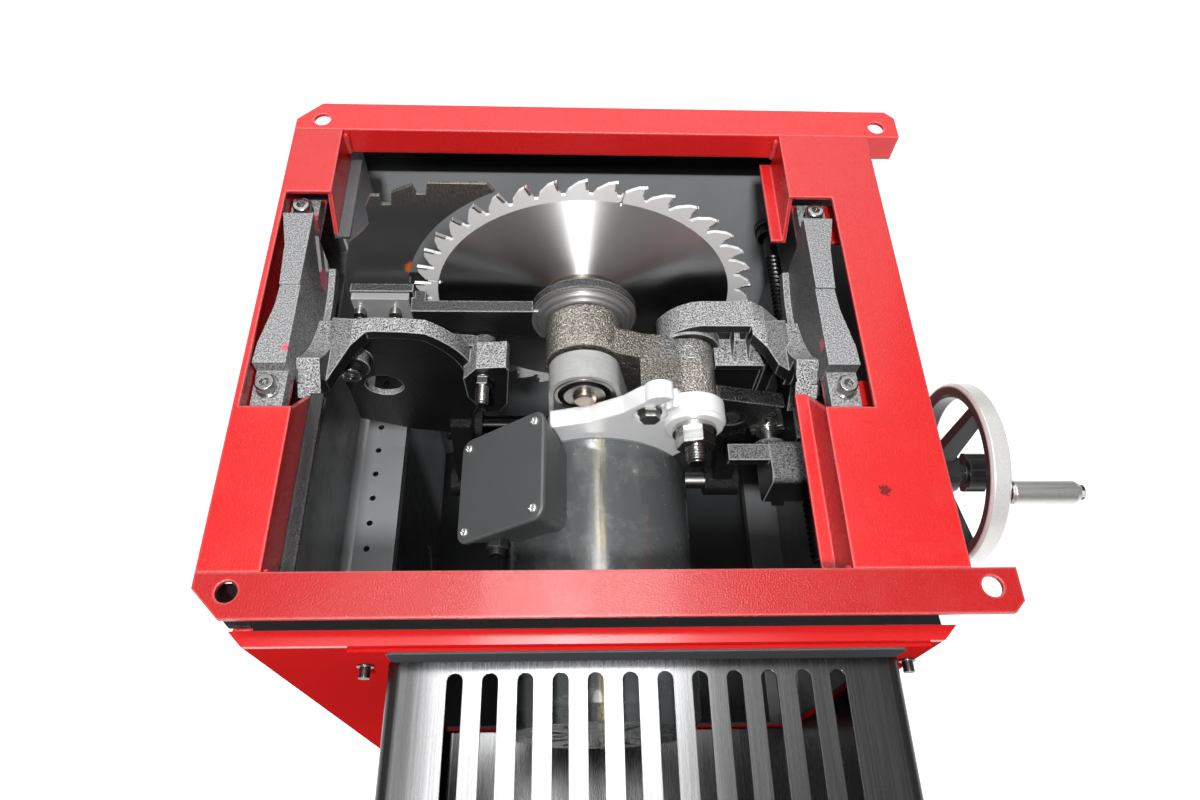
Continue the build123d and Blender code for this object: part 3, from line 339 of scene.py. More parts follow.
def weld_bead(start, end, radius):
    """Bead along a straight seam: a tube whose radius swells with each ripple and closes at the ends."""
    start, end = np.array(start) * MM, np.array(end) * MM
    length = np.linalg.norm(end - start)
    ahead = (end - start) / length
    aslant = (0.31, 0.52, 0.79)  # along no seam
    side = np.cross(ahead, aslant)
    side /= np.linalg.norm(side)
    over = np.cross(ahead, side)
    run = np.linspace(0, 1, 61)
    ripple = 0.82 + 0.18 * np.abs(np.sin(np.pi * run * length / (RIPPLE * MM)))
    taper = np.sqrt(np.clip(1 - np.abs(2 * run - 1) ** 6, 0.02, 1))
    angle = full_turn(14)
    lump = 1 + 0.08 * np.sin(9 * run[:, None] + 3 * angle[None, :])
    out = radius * MM * (ripple * taper)[:, None] * lump
    line = start + run[:, None] * (end - start)
    spoke = np.cos(angle)[None, :, None] * side + np.sin(angle)[None, :, None] * over
    return tube(line[:, None, :] + out[..., None] * spoke)


def corner_welds():
    """Beads down the frame's four inner corners and a short one above the near panel's lip."""
    top = TOP / MM
    high, low = (top - down for down in WELD_DOWN)
    seams = [weld_bead((x, y, high), (x, y, low), WELD_R) for y in WELD_Y for x in WELD_X]
    ends = [(x, LIP_WELD_Y, top - LIP_WELD_DOWN) for x in LIP_WELD_X]
    return joined([*seams, weld_bead(*ends, LIP_WELD_R)])


def slot_shield():
    """Plate behind the front panel's slot, carried by the lift shaft: a ring sector about the tilt axis.
    Angle and radius make the grid; each angle's ring goes out along one face and back along the other."""
    arm = math.hypot(LIFT.y, TILT.z - LIFT.z)
    start = math.atan2(LIFT.y, TILT.z - LIFT.z)
    angle = np.radians(np.linspace(*SHIELD_SWEEP, 60)) + start
    reach = np.concatenate([SHIELD_BAND, SHIELD_BAND[::-1]]) * MM + arm
    x = np.repeat(SHIELD_X, len(SHIELD_BAND)) * MM
    y = reach * np.sin(angle)[:, None]
    z = TILT.z - reach * np.cos(angle)[:, None]
    return tube(grid_of(x, y, z))


def ledge_fold():
    """Bend between the rear wall and its ledge: a hollow quarter round carried along Y, closed behind."""
    turn = np.radians(np.linspace(180, 270, 13))
    bend = FOLD_R + FOLD_R * np.stack([np.cos(turn), np.sin(turn)], -1)
    section = np.vstack([bend, [(FOLD_R, -FOLD_BACK), (-FOLD_BACK, -FOLD_BACK), (-FOLD_BACK, FOLD_R)]])
    return carried(section + (REAR_WALL, TOP / MM - LEDGE_DOWN), FOLD_Y, "Y")


def cover_flange():
    """Edge of the motor cover turned up against the door: a rounded outline carried across its
    thickness."""
    line = rounded_outline(FLANGE_SIZE, FLANGE_CORNER)
    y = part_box("motor_door")[0].y / MM
    grid = []
    for inset, out in FLANGE_RINGS:
        drawn_in = line * (1 - inset / (FLANGE_SIZE / 2))
        x = FLANGE_X + drawn_in[:, 0]
        z = TOP / MM - FLANGE_DOWN + drawn_in[:, 1]
        grid.append(grid_of(x, y - out, z) * MM)
    return tube(np.array(grid))


def gap_strip():
    """Black strip between the near rail's lower flange and the panel's lip, standing for the shade in that
    gap: a section with a hollow top, carried along X."""
    near, far = STRIP_Y[0], STRIP_Y[-1]
    dip = STRIP_DIP * np.sin(np.pi * (STRIP_Y - near) / (far - near))
    upper = np.stack([STRIP_Y, -STRIP_DOWN - dip], -1)
    section = np.vstack([upper, [(far, -STRIP_FOOT_DOWN), (near, -STRIP_FOOT_DOWN)]])
    return carried(section + (0, TOP / MM), STRIP_X, "X")


def on_lid(along, across, out):
    """Point in the model's frame from its place up the lid's slope, across it and out of it, in mm."""
    x = LID_MIDDLE[0] + along * math.cos(LID_TILT) - out * math.sin(LID_TILT)
    z = LID_MIDDLE[2] + along * math.sin(LID_TILT) + out * math.cos(LID_TILT)
    return grid_of(x, LID_MIDDLE[1] + across, z) * MM


def above_motor(along):
    """How far out of the lid the motor's round back lies below a place on the slope."""
    side = MOTOR.x / MM - LID_MIDDLE[0]
    rise = MOTOR.z / MM - LID_MIDDLE[2]
    middle = side * math.cos(LID_TILT) + rise * math.sin(LID_TILT)
    depth = rise * math.cos(LID_TILT) - side * math.sin(LID_TILT)
    return depth + np.sqrt(MOTOR_R ** 2 - (along - middle) ** 2) + MOTOR_GAP


def tub_size(share):
    """Length and width of the box at a share of the way from the lid to the foot."""
    return TUB_TOP + share * (TUB_FOOT - TUB_TOP)


def terminal_cover():
    """Lid of the terminal box: one rounded outline at several heights, drawn in at the rounded rim."""
    rings = [(0.5, -LID_THICK), (0.0, 0.5 - LID_THICK), (0.0, -1.0), (1.0, 0.0)]
    grid = []
    for inset, height in rings:
        line = rounded_outline(LID_SIZE - 2 * inset, LID_CORNER - inset)
        grid.append(on_lid(line[:, 0], line[:, 1], height))
    return tube(np.array(grid))


def terminal_tub():
    """Box under the lid: its outline shrinks evenly from the lid to the foot, and the foot follows the
    motor's round back; more outlines inside the foot close the underside along the same round."""
    grid = []
    for share in np.linspace(0, 1, 9):
        line = rounded_outline(tub_size(share), TUB_CORNER)
        height = -LID_THICK + share * (above_motor(line[:, 0]) + LID_THICK)
        grid.append(on_lid(line[:, 0], line[:, 1], height))
    for part in np.linspace(0.9, 0.05, 12):
        inner = part * line
        grid.append(on_lid(inner[:, 0], inner[:, 1], above_motor(inner[:, 0])))
    return tube(np.array(grid))


def box_gland():
    """Cable gland on the box's near wall: a hexagon whose foot follows the leaning wall, then a round
    collar and its bore, each ring at one distance across."""
    angle = full_turn(72)
    six = hexagon(angle, GLAND_HALF)
    nut_end, collar_end, bore_end = GLAND_ENDS
    middle, depth = GLAND_AT
    share = (depth + six * np.sin(angle) + LID_THICK) / (above_motor(middle) + LID_THICK)
    wall = -tub_size(share[:, None])[:, 1] / 2 - GLAND_GAP
    rings = [(six, wall), (six, nut_end), (GLAND_COLLAR, nut_end), (GLAND_COLLAR, collar_end),
             (GLAND_BORE, collar_end), (GLAND_BORE, bore_end)]
    grid = [on_lid(middle + radius * np.cos(angle), across, depth + radius * np.sin(angle))
            for radius, across in rings]
    return tube(np.array(grid))


def cross_screws():
    """Four pan heads on the lid. Over a disc of rings and angles the height is a flattened dome, less
    a recess where the point lies near either arm of a cross and close to the middle."""
    part = np.concatenate([np.linspace(0.05, 0.95, 19), [0.98, 1.0, 1.0]])
    angle = full_turn(64)
    a = part[:, None] * np.cos(angle)
    b = part[:, None] * np.sin(angle)
    dome = np.sqrt(np.clip(1 - part ** 2.6, 0, 1))[:, None] * np.ones_like(a)
    arm = np.clip(1.6 - np.minimum(np.abs(a), np.abs(b)) / 0.11, 0, 1)
    recess = arm * np.clip((0.72 - part) / 0.08, 0, 1)[:, None]
    height = (0.35 + 0.65 * dome - 0.5 * recess) * PAN_HIGH
    height[-1] = 0.0
    along, across = PAN_AT
    return joined([tube(on_lid(i * along + PAN_R * a, j * across + PAN_R * b, height))
                   for i in (-1, 1) for j in (-1, 1)])


def boss_screw():
    """Socket head in the rear casting's boss. Rings of one radius, each at its own way along Y, go up
    the side, over the chamfer and the rim; inside the rim the ring takes a hexagon's outline, by a
    share of its size, and goes down."""
    angle = full_turn(72)
    six = hexagon(angle, SOCKET_HALF)
    out = np.vstack([np.full(len(angle), radius) for radius, y in HEAD_RINGS]
                    + [six * share for share, y in SOCKET_RINGS])
    way = np.array([y for size, y in HEAD_RINGS + SOCKET_RINGS])[:, None]
    x = BOSS_X + out * np.cos(angle)
    z = TOP / MM - BOSS_DOWN + out * np.sin(angle)
    return tube(grid_of(x, way, z) * MM)


# Finishes

def grey(tone):
    """Colour with no hue."""
    return (tone, tone, tone)


def scaled(colour, by):
    """Colour made darker or lighter."""
    return tuple(min(1.0, by * c) for c in colour)


def add(tree, kind, inputs=(), **settings):
    """New shader node; each input takes a plain value or another node's output."""
    made = tree.nodes.new("ShaderNode" + kind)
    for key, value in settings.items():
        setattr(made, key, value)
    for key, value in dict(inputs).items():
        if isinstance(value, bpy.types.NodeSocket):
            tree.links.new(value, made.inputs[key])
        else:
            made.inputs[key].default_value = value
    return made


def linked(tree, inputs, **values):
    """A tree, with outputs of its nodes linked to named inputs."""
    for label, value in values.items():
        tree.links.new(value, inputs[label.replace("_", " ")])
    return tree


def number(operation, first, second=0.0):
    """One sum on numbers, the first of them another node's output, which says in which tree."""
    return add(first.id_data, "Math", {0: first, 1: second}, operation=operation).outputs[0]


def times(first, second):
    """Product of two numbers."""
    return number("MULTIPLY", first, second)


def off(value, middle):
    """How far a number lies from a middle one."""
    return number("ABSOLUTE", number("SUBTRACT", value, middle))


def vector(operation, first, second=(0, 0, 0)):
    """One sum on vectors; those that measure give a number."""
    measures = ("DOT_PRODUCT", "DISTANCE", "LENGTH")
    made = add(first.id_data, "VectorMath", {0: first, 1: second}, operation=operation)
    return made.outputs["Value" if operation in measures else "Vector"]


def window(value, low, high):
    """Zero at low, one at high, straight between them and level outside; low may be the larger."""
    inputs = {"Value": value, "From Min": low, "From Max": high}
    return add(value.id_data, "MapRange", inputs, clamp=True).outputs[0]


def blend(share, first, second):
    """From the first colour to the second by a share."""
    ends = [c if isinstance(c, bpy.types.NodeSocket) else (*c, 1.0) for c in (first, second)]
    return add(share.id_data, "Mix", {0: share, 6: ends[0], 7: ends[1]}, data_type="RGBA").outputs[2]


def noise(place, scale, detail, rough=0.5):
    """Cloudy value about one half."""
    inputs = {"Vector": place, "Scale": scale, "Detail": detail, "Roughness": rough}
    return add(place.id_data, "TexNoise", inputs).outputs[0]


def place_of(tree):
    """Object coordinates, in metres."""
    return add(tree, "TexCoord").outputs["Object"]


def part_of(place, axis):
    """One number of a vector."""
    return add(place.id_data, "SeparateXYZ", {0: place}).outputs[axis]


def group(name, inputs, outputs):
    """Empty shader node group with named sockets: its tree, what it is given and what it puts out."""
    tree = bpy.data.node_groups.new(name, "ShaderNodeTree")
    for label, value in inputs.items():
        socket = tree.interface.new_socket(label, in_out="INPUT", socket_type="NodeSocketFloat")
        socket.default_value = value
    for label in outputs:
        kind = "NodeSocketVector" if label == "Normal" else "NodeSocketFloat"
        tree.interface.new_socket(label, in_out="OUTPUT", socket_type=kind)
    return tree, tree.nodes.new("NodeGroupInput").outputs, tree.nodes.new("NodeGroupOutput").inputs


def hammered_skin():
    """Hammered coat on a casting: rounded grains for the height, salt-and-pepper specks, slow mottle."""
    tree, given, out = group("hammered_skin", {"Grain": 700.0}, ("Height", "Specks", "Mottle"))
    place = place_of(tree)
    cells = add(tree, "TexVoronoi", {"Vector": place, "Scale": given["Grain"]}, feature="SMOOTH_F1")
    grains = noise(place, times(given["Grain"], 1.3), 2.0, 0.6)
    height = number("SUBTRACT", grains, cells.outputs["Distance"])
    specks = window(grains, 0.38, 0.62)
    return linked(tree, out, Height=height, Specks=specks, Mottle=noise(place, 24.0, 3.0))


def edge_line():
    """Where an edge is: the rounded normal against the flat one gives the mask."""
    tree, given, out = group("edge_line", {"Width": MM}, ("Mask", "Normal"))
    rounded = add(tree, "Bevel", {"Radius": given["Width"]}, samples=6).outputs[0]
    flat = add(tree, "NewGeometry").outputs["Normal"]
    alike = vector("DOT_PRODUCT", rounded, flat)
    return linked(tree, out, Mask=window(alike, 0.985, 0.82), Normal=rounded)


def dust_and_lit_tops():
    """Dust on faces that look up, in clouds: Lying is the face's part, which also serves for painted light
    on upper faces and painted shade on the arm's sides; Mask is that part in clouds.
    """
    tree, given, out = group("dust_and_lit_tops", {"Cloud": 55.0}, ("Lying", "Mask"))
    coordinates = add(tree, "TexCoord").outputs
    lying = window(part_of(coordinates["Normal"], "Z"), 0.15, 0.85)
    clouds = window(noise(coordinates["Object"], given["Cloud"], 4.0, 0.65), 0.25, 0.70)
    return linked(tree, out, Lying=lying, Mask=times(lying, clouds))


def drawn_lines():
    """Lines of brushing or rolling: noise that is long one way, by one scale for each axis."""
    tree, given, out = group("drawn_lines", {"X": 20.0, "Y": 20.0, "Z": 900.0}, ("Tone",))
    stretch = add(tree, "CombineXYZ", {axis: given[axis] for axis in "XYZ"}).outputs[0]
    place = vector("MULTIPLY", place_of(tree), stretch)
    return linked(tree, out, Tone=noise(place, 1.0, 3.0, 0.6))


def paint_film():
    """Sprayed paint: fine orange peel for the height, a slow tone, and smudges."""
    tree, given, out = group("paint_film", {"Peel": 320.0}, ("Height", "Tone", "Smudge"))
    place = place_of(tree)
    smudge = window(noise(place, 38.0, 5.0, 0.68), 0.50, 0.74)
    peel = noise(place, given["Peel"], 1.5)
    return linked(tree, out, Height=peel, Tone=noise(place, 9.0, 3.0, 0.55), Smudge=smudge)


GROUPS = {g.name: g for g in (hammered_skin(), edge_line(), dust_and_lit_tops(), drawn_lines(), paint_film())}


class Finish:
    """A material being made: its node tree and its Principled shader."""

    def __init__(self, name, **constants):
        self.material = bpy.data.materials.new(name)
        self.material.use_nodes = True
        self.tree = self.material.node_tree
        self.shader = self.tree.nodes["Principled BSDF"]
        for label, value in constants.items():
            self.shader.inputs[label.replace("_", " ")].default_value = value

    def start(self, share, first, second):
        """Ground colour, from the first to the second by a share."""
        self.base = blend(share, first, second)

    def layer(self, colour, mask, share=None):
        """Next colour over those so far, by a mask or by a share of it."""
        if share is not None:
            mask = times(mask, share)
        self.base = blend(mask, self.base, colour)

    def done(self):
        """The material, with its colours fed to the shader."""
        self.feed(Base_Color=self.base)
        return self.material

    def use(self, name, **values):
        """Outputs of a shared group with this finish's own values."""
        made = self.tree.nodes.new("ShaderNodeGroup")
        made.node_tree = GROUPS[name]
        for label, value in values.items():
            made.inputs[label].default_value = value
        return made.outputs

    def feed(self, **sockets):
        """Link outputs to the shader."""
        linked(self.tree, self.shader.inputs, **sockets)

    def relief(self, height, depth, strength, over=None):
        """Bump of a height field, over a rounded normal where one is given."""
        inputs = {"Strength": strength, "Distance": depth, "Height": height}
        if over is not None:
            inputs["Normal"] = over
        self.feed(Normal=add(self.tree, "Bump", inputs).outputs[0])

    def roughness(self, base, mask, more):
        """Roughness that rises by a mask."""
        self.feed(Roughness=number("ADD", times(mask, more), base))

    def spot(self, centre, radius, ragged):
        """Mask about a point with a ragged border: the distance with noise added to it."""
        place = place_of(self.tree)
        border = times(noise(place, 1.6 / radius, 4.0, 0.7), 2 * ragged * radius)
        far = number("ADD", vector("DISTANCE", place, centre), border)
        return window(far, radius * (1.1 + ragged), radius * (0.9 + ragged))

    def past(self, axis, low, high):
        """Mask that grows from low to high along one axis."""
        return window(part_of(place_of(self.tree), axis), low, high)

    def radius(self, centre, axis):
        """Distance of a point from a line along one axis through a centre."""
        flat = Vector((1, 1, 1)) - Vector(axis)
        offset = vector("SUBTRACT", place_of(self.tree), centre)
        return vector("LENGTH", vector("MULTIPLY", offset, flat))

    def facing(self, way):
        """How far a face looks along a direction."""
        return vector("DOT_PRODUCT", add(self.tree, "TexCoord").outputs["Normal"], way)


def red_paint(name, chip=None, dark=None, tone=1.0, lit_y=None):
    """Sprayed red with orange peel over rounded bends, paler along them, a painted highlight; a chip down
    to the undercoat on one rail; near-black in the hollow below a height and past an X, painted shade; and
    grey there past a Y, painted light."""
    finish = Finish(name, Specular_IOR_Level=0.4, Coat_Weight=0.25, Coat_Roughness=0.10)
    film = finish.use("paint_film", Peel=900.0)
    edge = finish.use("edge_line", Width=2.6 * MM)
    finish.start(film["Tone"], scaled(DEEP_RED, tone), scaled(RED, tone))
    # Paler red along the bends: a painted highlight
    finish.layer((0.85, 0.26, 0.26), edge["Mask"], 0.5)
    if chip is not None:
        finish.layer(PRIMER, finish.spot(chip, CHIP_R, 1.5))
    # Near-black in the hollow: painted shade; grey in it past a Y: painted light
    if dark is not None:
        z, x = dark
        hollow = times(finish.past("Z", z, z - MM), finish.past("X", x, x + MM))
        hollow_shade = (0.010, 0.010, 0.011)
        if lit_y is not None:
            lit_part = finish.past("Y", lit_y, lit_y + 20 * MM)
            hollow_shade = blend(lit_part, hollow_shade, (0.075, 0.077, 0.080))
        finish.layer(hollow_shade, hollow)
    finish.roughness(0.26, film["Smudge"], 0.16)
    finish.relief(film["Height"], 0.36 * MM, 0.7, edge["Normal"])
    return finish.done()


def panel_paint(name, inward, inner, lip=None, cut=-0.6, gloss=0.3, pale=None, black=None):
    """Panel painted red outside and charcoal inside and on its cut edges, told apart by the way a face
    looks; above the height of a lip it is red all round, and a higher cut leaves the edges red. The
    inside may be paler past a Y, painted light, and black above a height, a painted shadow."""
    finish = Finish(name, Specular_IOR_Level=gloss, Coat_Roughness=0.15)
    film = finish.use("paint_film", Peel=520.0)
    dark = blend(film["Tone"], scaled(inner, 0.8), scaled(inner, 1.2))
    # Paler inside past a Y: painted light
    if pale is not None:
        dark = blend(finish.past("Y", pale, pale + 30 * MM), dark, (0.80, 0.82, 0.85))
    # Black inside above a height: a painted shadow
    if black is not None:
        dark = blend(finish.past("Z", black, black + 2 * MM), dark, (0.012, 0.013, 0.013))
    red = blend(film["Tone"], DEEP_RED, RED)
    inside = window(finish.facing(inward), cut, cut + 0.1)
    if lip is not None:
        inside = times(inside, finish.past("Z", lip, lip - MM))
        finish.feed(Coat_Weight=finish.past("Z", lip, lip + MM))
    finish.start(inside, red, dark)
    finish.roughness(0.28, film["Smudge"], 0.2)
    finish.relief(film["Height"], 0.5 * MM, 0.6)
    return finish.done()


def sheet_paint(name, dark, light, rough=0.35, coat=0.2, metal=0.0, painted_shades=(), gloss=0.5):
    """Satin paint on folded sheet, paler along its edges, a painted highlight, and darker past a place on
    an axis, painted shade."""
    finish = Finish(name, Coat_Weight=coat, Coat_Roughness=0.2, Metallic=metal, Specular_IOR_Level=gloss)
    film = finish.use("paint_film", Peel=300.0)
    edge = finish.use("edge_line", Width=0.8 * MM)
    finish.start(film["Tone"], dark, light)
    # Paler edges: a painted highlight
    finish.layer(grey(0.36), edge["Mask"], 0.5)
    # Darker past a place on an axis: painted shade
    for axis, start, share in painted_shades:
        finish.layer(grey(0.006), finish.past(axis, start, start + 12 * MM), share)
    finish.roughness(rough, film["Smudge"], 0.12)
    finish.relief(film["Height"], 0.25 * MM, 0.35, edge["Normal"])
    return finish.done()


def rib_glint_lines(finish):
    """Mask of two white lines on the rear bracket's inner face, a painted highlight standing for a machined
    rib's bright edges: near them by the distance across, which is taken from the line midway between
    them, and by the distance along."""
    offset = vector("SUBTRACT", place_of(finish.tree), RIB_GLINT_FROM)
    across = off(vector("DOT_PRODUCT", offset, RIB_GLINT_ACROSS), RIB_GLINT_MIDDLE[0])
    along = off(vector("DOT_PRODUCT", offset, RIB_GLINT_ALONG), RIB_GLINT_MIDDLE[1])
    lines = window(off(across, RIB_GLINT_APART), *RIB_GLINT_WIDE)
    lines = times(lines, window(along, *RIB_GLINT_LONG))
    return times(lines, finish.past("X", *RIB_GLINT_X))


def bracket_coat(name, daubs, rib_glints=False):
    """Pale hammered grey with daubs of red paint, lighter on upper faces, painted light, and paler along
    edges, a painted highlight. The rear one has two white lines on its inner face, a painted highlight
    standing for a machined rib's bright edges, and lighter specks there towards the near side, painted
    light."""
    finish = Finish(name, Metallic=0.15)
    skin = finish.use("hammered_skin", Grain=740.0)
    edge = finish.use("edge_line", Width=1.6 * MM)
    tops = finish.use("dust_and_lit_tops")
    # Upper faces lighter than upright ones: painted light
    side = blend(skin["Specks"], (0.035, 0.035, 0.037), (0.16, 0.161, 0.165))
    upper = blend(skin["Specks"], (0.10, 0.101, 0.105), (0.39, 0.394, 0.40))
    # Lighter specks towards the near side: painted light
    if rib_glints:
        speckled = blend(skin["Specks"], (0.05, 0.05, 0.051), grey(0.42))
        side = blend(finish.past("Y", *LIT_SPECKS_Y), side, speckled)
    finish.start(tops["Lying"], side, upper)
    # Paler edges: a painted highlight
    finish.layer(grey(0.60), edge["Mask"], 0.5)
    # White lines for a machined rib's bright edges: a painted highlight
    if rib_glints:
        finish.layer((0.97, 0.97, 0.96), rib_glint_lines(finish))
    for centre, radius in daubs:
        finish.layer((0.58, 0.10, 0.16), finish.spot(centre, radius, 0.9))
    finish.roughness(0.36, skin["Mottle"], 0.2)
    finish.relief(skin["Height"], 1.0 * MM, 0.8, edge["Normal"])
    return finish.done()


def black_casting(name, bright=1.0, machined=None, deep=None):
    """Hammered black. Upper faces are painted lighter, with grey specks that stand for the light they
    catch: painted light. Dust in clouds roughens them. Upright faces stay smooth and black; below a depth
    all stays black, painted shade. Pale edges are partly worn and partly a painted highlight. Within a
    radius of the arbor the rings are turned bright."""
    finish = Finish(name, Specular_IOR_Level=0.35)
    skin = finish.use("hammered_skin", Grain=780.0)
    edge = finish.use("edge_line", Width=1.8 * MM)
    tops = finish.use("dust_and_lit_tops", Cloud=40.0)
    # Upper faces painted lighter, with grey specks for the light they catch: painted light
    coat = blend(skin["Mottle"], (0.004, 0.004, 0.005), (0.012, 0.012, 0.013))
    upper = blend(skin["Specks"], (0.02, 0.02, 0.021), grey(0.56 * bright))
    lying, edge_wear_and_highlight = tops["Lying"], edge["Mask"]
    # Below a depth the upper faces and edges stay black: painted shade
    if deep is not None:
        high = finish.past("Z", deep - 20 * MM, deep)
        lying, edge_wear_and_highlight = times(lying, high), times(edge_wear_and_highlight, high)
    finish.start(times(lying, 0.95), coat, upper)
    # Pale edges: partly worn, partly a painted highlight
    finish.layer(grey(0.62), edge_wear_and_highlight, 0.75)
    relief = times(skin["Height"], number("ADD", times(tops["Lying"], 0.8), 0.2))
    if machined is not None:
        ring = window(finish.radius(ARBOR, (0, 1, 0)), machined + 0.4 * MM, machined)
        finish.layer((0.34, 0.335, 0.33), ring)
        relief = times(relief, window(ring, 1.0, 0.0))
        finish.feed(Metallic=times(ring, 0.8))
    finish.roughness(0.34, tops["Mask"], 0.25)
    finish.relief(relief, 1.1 * MM, 0.9, edge["Normal"])
    return finish.done()


def brown_casting(name):
    """Bare brownish casting with a polished film, its bright specks and pale edges a painted highlight, and
    greyer on the pivot's boss; darker between its two bosses and on faces that don't look up, and black
    towards the gear quadrant, all painted shade."""
    finish = Finish(name, Metallic=0.85)
    skin = finish.use("hammered_skin", Grain=700.0)
    edge = finish.use("edge_line", Width=2.2 * MM)
    tops = finish.use("dust_and_lit_tops")
    mottle = window(skin["Mottle"], 0.35, 0.65)
    finish.start(mottle, (0.10, 0.080, 0.062), (0.24, 0.210, 0.178))
    # Bright specks that stand for glints: a painted highlight
    finish.layer((0.80, 0.76, 0.70), skin["Specks"], 0.85)
    boss = times(finish.past("X", *PIVOT_BOSS["X"]), finish.past("Z", *PIVOT_BOSS["Z"]))
    boss = times(boss, finish.past("Y", *PIVOT_BOSS["Y"]))
    finish.layer(blend(skin["Specks"], (0.12, 0.12, 0.122), grey(0.70)), boss)
    # Darker between the two bosses: painted shade
    web_shade = times(finish.past("X", *WEB_SHADE_FROM), finish.past("X", *WEB_SHADE_TO))
    finish.layer((0.030, 0.026, 0.022), web_shade, 0.45)
    # Darker on faces that don't look up: painted shade
    side = window(tops["Lying"], 1.0, 0.1)
    finish.layer((0.040, 0.032, 0.025), side, 0.6)
    # Black towards the gear quadrant: painted shade
    black = blend(skin["Specks"], grey(0.008), grey(0.06))
    finish.layer(black, finish.past("X", *QUADRANT_SHADE_X))
    # Paler edges: a painted highlight
    finish.layer((0.52, 0.49, 0.45), edge["Mask"], 0.5)
    finish.roughness(0.28, skin["Mottle"], 0.16)
    finish.relief(skin["Height"], 1.3 * MM, 1.0, edge["Normal"])
    return finish.done()


def steel(name, tint, rough=0.28, lines=(20.0, 900.0, 20.0), stain=0.25, darkened=None, shaded_spans=()):
    """Turned or ground steel with drawn lines, a faint brown stain and pale edges, a painted highlight;
    black before an X, painted shade; and darker from one X to another, painted shade that leaves a
    painted highlight between."""
    finish = Finish(name, Metallic=1.0)
    tone = finish.use("drawn_lines", **dict(zip("XYZ", lines)))["Tone"]
    edge = finish.use("edge_line", Width=0.6 * MM)
    smudge = finish.use("paint_film")["Smudge"]
    finish.start(tone, scaled(tint, 0.7), scaled(tint, 1.2))
    finish.layer((0.20, 0.15, 0.10), smudge, stain)
    # Pale edges: a painted highlight
    finish.layer((0.85, 0.85, 0.84), edge["Mask"], 0.6)
    # Black before an X: painted shade
    if darkened is not None:
        finish.layer(grey(0.010), finish.past("X", darkened, darkened - 30 * MM))
    # Darker from one X to another: painted shade that leaves a painted highlight between
    for begin, full in shaded_spans:
        finish.layer(grey(0.02), finish.past("X", begin, full), 0.75)
    finish.roughness(rough - 0.06, tone, 0.14)
    finish.relief(tone, 0.05 * MM, 0.5, edge["Normal"])
    return finish.done()


def plastic(name, dark, light, rough=0.45, edge_highlight=0.20):
    """Moulded plastic with a fine grain and pale edges, a painted highlight."""
    finish = Finish(name)
    film = finish.use("paint_film", Peel=1500.0)
    edge = finish.use("edge_line", Width=0.8 * MM)
    finish.start(film["Tone"], dark, light)
    # Pale edges: a painted highlight
    finish.layer(grey(edge_highlight), edge["Mask"], 0.45)
    finish.roughness(rough, film["Smudge"], 0.15)
    finish.relief(film["Height"], 0.12 * MM, 0.5, edge["Normal"])
    return finish.done()


def blade_steel():
    """Plate brushed in circles inside a matt toothed ring; the brushing spreads light along the radius."""
    finish = Finish("blade_steel", Anisotropic=1.0, Anisotropic_Rotation=0.25)
    tree = finish.tree
    radius = finish.radius(ARBOR, (0, 1, 0))
    way = times(radius, 2600.0)
    circles = {"W": way, "Scale": 1.0, "Detail": 3.0}
    lines = add(tree, "TexNoise", circles, noise_dimensions="1D").outputs[0]
    smudge = finish.use("paint_film")["Smudge"]
    ring = window(radius, RING_FROM * MM, (RING_FROM + 0.4) * MM)
    plate = blend(lines, grey(0.64), (0.95, 0.95, 0.945))
    finish.start(ring, plate, (0.58, 0.58, 0.575))
    finish.feed(Metallic=window(ring, 1.1, 0.0))
    rough = number("ADD", times(lines, 0.10), 0.47)
    rough = number("ADD", rough, times(smudge, 0.05))
    finish.feed(Roughness=number("ADD", rough, times(ring, 0.3)))
    finish.feed(Tangent=add(tree, "Tangent", direction_type="RADIAL", axis="Y").outputs[0])
    finish.relief(lines, 0.02 * MM, 0.3)
    return finish.done()


def knife_black():
    """Black oxide sheet, scratched, with rust-brown grime towards its upper edge and a daub of orange."""
    finish = Finish("knife_black", Metallic=0.4)
    lines = finish.use("drawn_lines", X=1100.0, Y=30.0, Z=240.0)["Tone"]
    edge = finish.use("edge_line", Width=0.9 * MM)
    film = finish.use("paint_film")
    finish.start(film["Tone"], (0.035, 0.035, 0.036), (0.068, 0.068, 0.069))
    grime = times(finish.past("Z", *GRIME_Z), window(lines, 0.42, 0.62))
    finish.layer((0.30, 0.26, 0.19), grime, 0.3)
    finish.layer((0.30, 0.28, 0.24), edge["Mask"], 0.5)
    finish.layer((0.80, 0.16, 0.01), finish.spot(ORANGE_DAUB, ORANGE_R, 0.5))
    finish.roughness(0.32, film["Smudge"], 0.2)
    finish.relief(lines, 0.04 * MM, 0.4, edge["Normal"])
    return finish.done()


def belt_rubber():
    """Grey rubber back of a flat belt, with fine lines along its run."""
    finish = Finish("belt_rubber")
    lines = finish.use("drawn_lines", X=60.0, Y=1500.0, Z=60.0)["Tone"]
    film = finish.use("paint_film", Peel=900.0)
    finish.start(lines, (0.22, 0.22, 0.215), (0.40, 0.40, 0.39))
    finish.layer(grey(0.08), film["Smudge"], 0.35)
    finish.roughness(0.5, lines, 0.2)
    finish.relief(film["Height"], 0.15 * MM, 0.5)
    return finish.done()


def cast_aluminium():
    """Die-cast aluminium, satin and nearly white, with faint flow marks."""
    finish = Finish("cast_aluminium", Metallic=0.35)
    skin = finish.use("hammered_skin", Grain=1100.0)
    edge = finish.use("edge_line", Width=1.8 * MM)
    film = finish.use("paint_film", Peel=160.0)
    finish.start(film["Tone"], (0.84, 0.85, 0.86), (0.96, 0.965, 0.97))
    finish.layer(grey(0.42), film["Smudge"], 0.18)
    finish.roughness(0.30, film["Smudge"], 0.18)
    finish.relief(skin["Height"], 0.12 * MM, 0.4, edge["Normal"])
    return finish.done()


